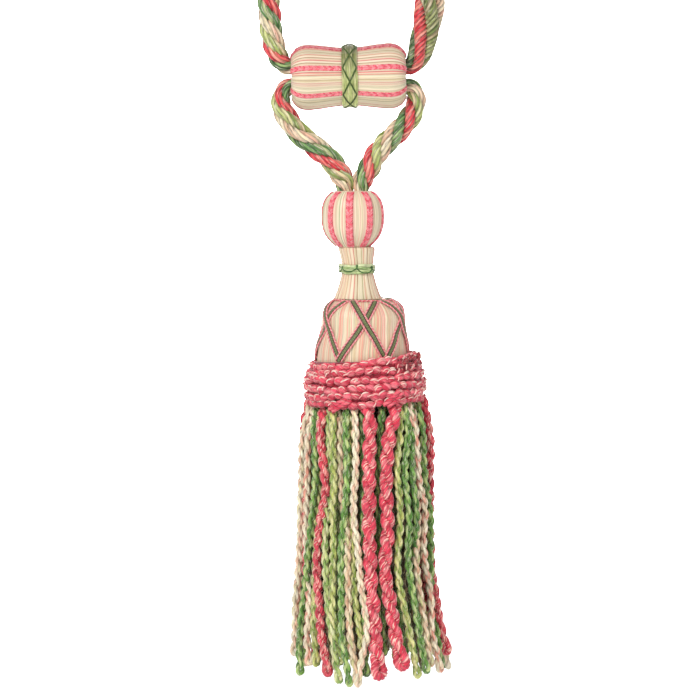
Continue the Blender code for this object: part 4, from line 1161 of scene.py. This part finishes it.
def make_skirt(yarn, coral_yarn):
    left, right, behind, inner, filler = Build(), Build(), Build(), Build(), Build()

    def add(build, colour, radius, line, phase, loop_turn=0.0, coarse=False, wide_loop=False):
        ply_r, pitch, yarn_pitch, loop, hug, lobes, per = cord_sizes(radius)
        if wide_loop:
            loop = (3.2 * MM, loop[1])
        step = (1.0 if radius == THICK else 0.9) * MM
        if coarse:
            step = 1.8 * MM
        slot = 1 if colour.startswith("coral") else 0
        plied_cord(build, line, ply_r, pitch, yarn_pitch, CORD_COLOURS[colour], loop, hug, lobes, per, step, phase, slot=slot, loop_turn=loop_turn)

    for k, row in enumerate(FRONT_CORDS):
        add(left if k < 12 else right, row[0], row[1], front_line(row), 0.9 * k, loop_turn=(0.15, -0.3, 0.4, -0.1)[k % 4], wide_loop=k == 14)
    radii = [MEDIUM] + [r for _, r in BACK_CORDS] + [MEDIUM]
    weights = [(a + b) / 2 for a, b in zip(radii, radii[1:])]
    turn = BACK_START
    for k, (colour, radius) in enumerate(BACK_CORDS):
        turn += (BACK_STOP - BACK_START) * weights[k] / sum(weights)
        ply_r, _, _, (_, tall) = cord_sizes(radius)[:4]
        end_v = 668.0 + 8.0 * math.sin(1.7 * k + 0.6)
        line = hanging_line(turn, turn + 1.5 * math.sin(2.1 * k), end_v, True, k, tall + ply_r)
        add(behind, colour, radius, line, 0.7 * k + 0.3, loop_turn=math.radians(turn))
    for k in range(INNER_CORDS):
        angle = 360.0 / INNER_CORDS * k + 5.0 + 1.5 * math.sin(2.7 * k)
        ply_r, _, _, (_, tall) = cord_sizes(THIN)[:4]
        line = hanging_line(angle, angle + 2.0 * math.sin(1.9 * k), 662.0 + 9.0 * math.sin(2.3 * k + 1.0), False, k + 0.5, tall + ply_r)
        add(inner, INNER_COLOURS[k % 10], THIN, line, 1.1 * k, loop_turn=math.radians(angle), coarse=True)
    # two last rows of plainer cords inside, which close the view through the skirt; their dark colours are painted
    # shade of the skirt's inside
    for k in range(FILLER_CORDS + INNERMOST_CORDS):
        row = k >= FILLER_CORDS
        turn = 2 * np.pi * ((k - FILLER_CORDS + 0.2) / INNERMOST_CORDS if row else (k + 0.5) / FILLER_CORDS)
        v = np.linspace(404.0, 646.0 + 7.0 * math.sin(2.9 * k), 60)
        axis = column(SKIRT_STATIONS, v, 3)
        reach = (INNERMOST_REACH if row else FILLER_REACH) + 1.2 * MM * math.sin(1.3 * k) + 1.0 * MM * np.sin(v * 0.05 + k)
        points = np.stack([x_of(axis) + reach * math.sin(turn), -reach * math.cos(turn), z_of(v)], 1)
        points, run = evenly(points, 2.4 * MM)
        base, share, crest, lobe = lobed(2, 4, 0.55)
        angle = base[None, :] + (2 * np.pi * run / (15.0 * MM) + k)[:, None]
        radius = 2.45 * MM * (1 + 0.06 * np.sin(run / MM * 0.4 + k))[:, None] * share[None, :]
        # each one tapers into a rounded tip
        left_over = np.clip((run[-1] - run) / (2.6 * MM), 0.0, 1.0)
        radius = radius * np.sqrt(1 - (1 - left_over) ** 2 * 0.96)[:, None]
        colours = np.array(CORD_COLOURS[("painted_shade_brown", "tan", "deep_green", "painted_shade_brown")[k % 4]])[:2]
        # painted shade: darkened to between a third and two thirds, most in the valleys
        tint = colours[lobe] * (0.30 + 0.35 * crest)[:, None]
        filler.tube(points, carried_frame(points), radius, angle, np.broadcast_to(tint[None], (len(run), len(base), 3)), along=run)
    materials = [yarn, coral_yarn]
    filler.piece("skirt_filler_cords", materials, "skirt_cords")
    left.piece("skirt_front_left", materials, "skirt_cords", ["skirt_outer"])
    right.piece("skirt_front_right", materials, "skirt_cords")
    behind.piece("skirt_back", materials, "skirt_cords")
    inner.piece("skirt_inner_cords", materials, "skirt_cords", ["skirt_inner"])


# ---------------------------------------------------------------- the ruff
def tilted(points):
    """Points of the level ruff, turned about its middle as it sits."""
    lean = math.radians(-RUFF_TILT)
    c, s = math.cos(lean), math.sin(lean)
    x, y, z = points[:, 0], points[:, 1], points[:, 2]
    return np.stack([x_of(RUFF_U) + c * x + s * z, y, z_of(RUFF_V) - s * x + c * z], 1)


def make_ruff(material, core_material):
    build, under = Build(), Build()
    colours = np.array((rgb(234, 74, 98), rgb(248, 124, 136), rgb(214, 48, 76), rgb(240, 94, 112)))
    pale = (rgb(250, 196, 184), rgb(252, 220, 206), rgb(246, 164, 160), rgb(251, 208, 194))
    rng = np.random.default_rng(23)
    base, share, crest, lobe = lobed(4, 3, 0.86)
    t = -np.cos(np.linspace(0, np.pi, 11))
    thin = 2 * np.pi * np.arange(6) / 6

    def lump(turn, far, level, half, fat, lean, light, threads, shades=colours):
        """One fat turn of cord, bulging out between two neighbours, with pale threads over its upper side."""
        outward = np.array([math.sin(turn), -math.cos(turn), 0.0])
        beside, up = np.array([math.cos(turn), math.sin(turn), 0.0]), np.array([0.0, 0.0, 1.0])
        middle = outward * far + up * level
        axis, rise = beside * math.cos(lean) + up * math.sin(lean), up * math.cos(lean) - beside * math.sin(lean)
        line = tilted(middle + axis * (half * t)[:, None] - outward * (0.9 * MM * t**2)[:, None])
        frame_k = carried_frame(line)
        angle = base[None, :] + (rng.uniform(0, 6) + 1.3 * t)[:, None]
        radius = fat * (0.20 + 0.80 * np.sqrt(1 - 0.999 * t**2))[:, None] * share[None, :]
        # painted light on the lump's upper side and painted shade on its lower side
        painted_top_light = np.cos(angle) * frame_k[1][:, 2:] + np.sin(angle) * frame_k[2][:, 2:]
        # painted shade towards the lump's ends, where it meets its neighbours
        depth = (0.50 + 0.50 * np.sqrt(1 - 0.98 * t**2)) * light
        own = np.roll(shades, int(rng.integers(0, 4)), 0)
        # painted shade in the valleys between the yarns too
        tint = (own[lobe] * (0.82 + 0.24 * crest)[:, None])[None] * (depth[:, None] * (0.88 + 0.20 * painted_top_light))[..., None]
        build.tube(line, frame_k, radius, angle, np.clip(tint, 0, 1), along=turn * 33 * MM + half * (t + 1))
        for _ in range(threads):
            high, bow, tip = rng.uniform(0.35, 0.85), rng.uniform(0.10, 0.55), rng.uniform(0.62, 0.86)
            s7 = np.linspace(-1, 1, 7)
            rank = fat * (high - bow * s7**2)
            swell = 0.20 + 0.80 * np.sqrt(1 - (tip * s7) ** 2)
            front = fat * np.sqrt(np.clip(swell**2 - (rank / fat) ** 2, 0.04, 1.0)) + 0.16 * MM
            line = tilted(middle + axis * (half * tip * s7)[:, None] + rise * rank[:, None] + outward * (front - 0.9 * MM * (tip * s7) ** 2)[:, None])
            thick = rng.uniform(0.28, 0.46) * MM * (1 - 0.55 * s7**4)
            build.tube(line, carried_frame(line), np.broadcast_to(thick[:, None], (7, 6)), np.broadcast_to(thin, (7, 6)), pale[int(rng.integers(0, 4))], along=run_of(line))

    for n, (v, out) in enumerate(RUFF_ROWS):
        lumps = (39, 41, 40, 42, 41, 39)[n]
        for k in range(lumps):
            turn = 2 * np.pi * (k + 0.5 * (n % 2) + rng.uniform(-0.14, 0.14)) / lumps
            wave = 0.45 * MM * math.sin(3 * turn + 2.2 * n) + 0.40 * MM * math.sin(7 * turn + 1.1 * n)
            # the two top rows rise a little more to the right
            wave += (1.2, 0.6, 0.0, 0.0, 0.0, 0.0)[n] * MM * math.sin(turn)
            half, fat = rng.uniform(2.6, 3.3) * MM, rng.uniform(2.2, 2.8) * MM
            far = out * MM - fat - 0.1 * MM + 0.2 * MM * math.sin(5 * turn + 1.7 * n) + rng.uniform(-0.45, 0.1) * MM
            level = (RUFF_V - v) * GRID + wave + rng.uniform(-0.55, 0.55) * MM
            threads = int(rng.uniform() < 0.84) + int(rng.uniform() < 0.28)
            lump(turn, far, level, half, fat, math.radians(rng.uniform(-14.0, 32.0)), rng.uniform(0.88, 1.12), threads)
    # at the right, the end of the cord is drawn back under the top rows in a gathered knot, its coral darkened as
    # painted shade under the rows
    for k in range(22):
        turn = math.radians(35.0 + 43.0 * (k + rng.uniform()) / 22)
        shades = colours * (0.30 + 0.24 * rng.uniform()) * np.array((1.0, 0.30, 0.48))
        level = (RUFF_V - 357.6 - 10.0 * rng.uniform()) * GRID
        lump(turn, 31.0 * MM + rng.uniform(0.0, 0.9) * MM, level, rng.uniform(1.7, 2.5) * MM, rng.uniform(1.4, 1.8) * MM, rng.uniform(0.2, 1.5), 1.0, int(k % 5 == 0), shades)
    for n, (v, out) in enumerate(RUFF_ROWS):
        # small loops have slipped outward here and there
        for _ in range(12):
            turn, wide, tall = rng.uniform(0, 2 * np.pi), rng.uniform(0.9, 1.6) * MM, rng.uniform(0.4, 0.9) * MM
            bend = np.linspace(0, np.pi, 9)
            lean = rng.uniform(0.2, 1.3)
            spread = wide * np.cos(bend)
            place = turn + spread * math.cos(lean) / (out * MM)
            far = out * MM - 0.45 * MM + tall * np.sin(bend)
            level = (RUFF_V - v) * GRID + spread * math.sin(lean) + rng.uniform(-0.8, 0.8) * MM
            line = tilted(np.stack([far * np.sin(place), -far * np.cos(place), level], 1))
            build.tube(line, carried_frame(line), np.full((9, 6), 0.30 * MM), np.broadcast_to(thin, (9, 6)), pale[int(rng.integers(0, 4))], along=run_of(line))
    # where the winding ends, a few turns cross the lowest rows slantwise
    for start, stop, low, high in ((-39.0, -19.0, 404.0, 393.5), (-35.0, -15.0, 406.0, 395.5), (18.5, 34.0, 401.5, 388.0), (22.5, 38.0, 403.5, 390.0)):
        t2 = np.linspace(0.0, 1.0, 60)
        theta = np.radians(start + (stop - start) * t2)
        v = low + (high - low) * t2
        far = np.interp(v, [row[0] for row in RUFF_ROWS], [row[1] for row in RUFF_ROWS]) * MM - (0.5 + 1.6 * (2 * t2 - 1) ** 4) * MM
        line = tilted(np.stack([far * np.sin(theta), -far * np.cos(theta), (RUFF_V - v) * GRID], 1))
        twisted_line(build, line, 1.35 * MM, 8.0 * MM, 1, (colours[0], colours[2], colours[3]), lobes=3, per_lobe=4, valley=0.78, crest_gain=0.4)
    build.piece("ruff_wound", [material], "ruff_cord", ["ruff"])
    # the core that the rows are wound on, which closes the ruff above and below; its dark crimson is painted shade
    # between the rows
    sides = 120
    theta = 2 * np.pi * np.arange(sides) / sides
    section = np.array([(27.8, 357.8), (28.8, 360.0), (30.2, 370.0), (31.2, 384.0), (30.8, 396.0), (29.8, 402.2), (29.0, 401.0), (28.6, 384.0), (27.2, 366.0)])
    points = np.stack([section[:, 0][:, None] * MM * np.sin(theta), -section[:, 0][:, None] * MM * np.cos(theta), np.broadcast_to(((RUFF_V - section[:, 1]) * GRID)[:, None], (len(section), sides))], -1)
    points = tilted(points.reshape(-1, 3)).reshape(len(section), sides, 3)
    under.grid(points[::-1], rgb(150, 22, 44), closed=True, along=np.arange(len(section)) * 2 * MM)
    under.piece("ruff_core", [core_material], "ruff_cord")


# ---------------------------------------------------------------- floor, backdrop and light
def make_stage():
    mesh = bpy.data.meshes.new("floor")
    low, wide, back, high = -0.86, 6.0, 5.6, 4.0
    profile = [(-6.0, low), (back - 0.6, low)]
    profile += [(back - 0.6 + 0.6 * math.sin(a), low + 0.6 - 0.6 * math.cos(a)) for a in (math.radians(9 * k) for k in range(1, 11))]
    profile += [(back, high)]
    points = [(x, y, z) for y, z in profile for x in (-wide, wide)]
    faces = [(2 * k, 2 * k + 1, 2 * k + 3, 2 * k + 2) for k in range(len(profile) - 1)]
    mesh.from_pydata(points, [], faces)
    mesh.shade_smooth()
    paper, tree, shader = shader_of("paper", 0.9, 0.0, 0.1)
    noise = node(tree, "ShaderNodeTexNoise", Scale=3.0, Detail=2.0)
    shade = ramp(tree, noise.outputs["Fac"], (0.0, 0.93), (1.0, 0.97))
    tree.links.new(shade, shader.inputs["Base Color"])
    mesh.materials.append(paper)
    floor = bpy.data.objects.new("floor", mesh)
    bpy.context.scene.collection.objects.link(floor)
    world = bpy.data.worlds.new("studio")
    bpy.context.scene.world = world
    world.use_nodes = True
    world.node_tree.nodes["Background"].inputs["Color"].default_value = (1.0, 1.0, 1.0, 1.0)
    world.node_tree.nodes["Background"].inputs["Strength"].default_value = 0.56

    def lamp(name, place, target, size, power, spread=180.0):
        data = bpy.data.lights.new(name, "AREA")
        data.shape = "DISK"
        data.size = size
        data.energy = power
        data.spread = math.radians(spread)
        made = bpy.data.objects.new(name, data)
        bpy.context.scene.collection.objects.link(made)
        made.location = place
        from mathutils import Vector

        made.rotation_euler = (Vector(target) - Vector(place)).to_track_quat("-Z", "Y").to_euler()

    middle = (0.0, 0.0, -0.45)
    lamp("key", (-0.9, -1.7, 0.9), middle, 0.6, 35.0)
    lamp("fill", (1.5, -1.6, 0.0), middle, 1.4, 8.0)
    lamp("backdrop_light", (0.0, 3.2, 3.6), (0.0, 5.0, -0.7), 1.8, 330.0, spread=100.0)
    bpy.context.scene.view_settings.view_transform = "Standard"


# ---------------------------------------------------------------- all of it
make_camera()
make_rope(yarn_material("rope_yarn", across=4.0, along=360.0, dark=0.36, light=0.45, roughness=0.46))

barrel_threads = laid_material("barrel_threads", 230, pink=0.07, tan=0.10, seed=1.0)
cover_threads = laid_material("cover_threads", 200, pink=0.03, tan=0.10, seed=2.0)
neck_threads = laid_material("neck_threads", 150, pink=0.08, tan=0.08, seed=4.0)
dome_threads = laid_material("dome_threads", 250, pink=0.15, tan=0.10, seed=3.0)
gimp_yarn = yarn_material("gimp_yarn", across=1.4, along=900.0, dark=0.66, light=0.45, bump=0.15, roughness=0.42)
fine_thread = yarn_material("fine_thread", across=1.0, along=600.0, dark=0.7, light=0.1, bump=0.1)
satin_band = yarn_material("satin_band", across=1.6, along=300.0, dark=0.6, light=0.25, bump=0.2, roughness=0.38)
ribbed_gimp = yarn_material("ribbed_gimp", across=4.0, along=900.0, dark=0.6, light=0.15, bump=0.2, roughness=0.6)
skirt_yarn = yarn_material("skirt_yarn", across=1.6, along=440.0, dark=0.64, light=0.40, bump=0.25)
coral_yarn = yarn_material("coral_yarn", across=1.15, along=430.0, dark=0.55, light=1.0, pale=(254, 210, 192), bump=0.25, roughness=0.46)
ruff_yarn = yarn_material("ruff_yarn", across=1.6, along=420.0, dark=0.55, light=0.28, pale=(252, 206, 188), bump=0.25)


make_barrel(barrel_threads)
make_barrel_gimps(gimp_yarn)
make_barrel_band(satin_band, fine_thread)
upright_cover("ball_cover", BALL_OUTLINE, BALL_U, 320, 80, 0.14 * MM, 1.9, cover_threads, "satin_cream", ["ball"], 52, 0.12 * MM, PLAIN_SHADES, QUIET_LINES, 1.15, 6, beside=(BALL_GIMP_START, BALL_GIMPS, 9.5))
make_ball_gimps(gimp_yarn)
upright_cover("neck_cover", NECK_COVER, NECK_AXIS, 378, 63, 0.14 * MM, 1.9, neck_threads, "satin_cream", ["neck"], 31, 0.34 * MM, COVER_SHADES, THREAD_LINES, 1.6, 8, 0.13)
make_binding(satin_band, fine_thread)
upright_cover("dome_cover", DOME_COVER, DOME_AXIS, 420, 105, 0.14 * MM, 2.6, dome_threads, "satin_cream", ["dome"], 76, 0.16 * MM, COVER_SHADES, THREAD_LINES, 0.75, 9)
make_lattice(ribbed_gimp, gimp_yarn)
make_ruff(ruff_yarn, yarn_material("ruff_shade", across=30.0, along=300.0, dark=0.5, light=0.0, bump=0.4))
make_skirt(skirt_yarn, coral_yarn)
make_stage()
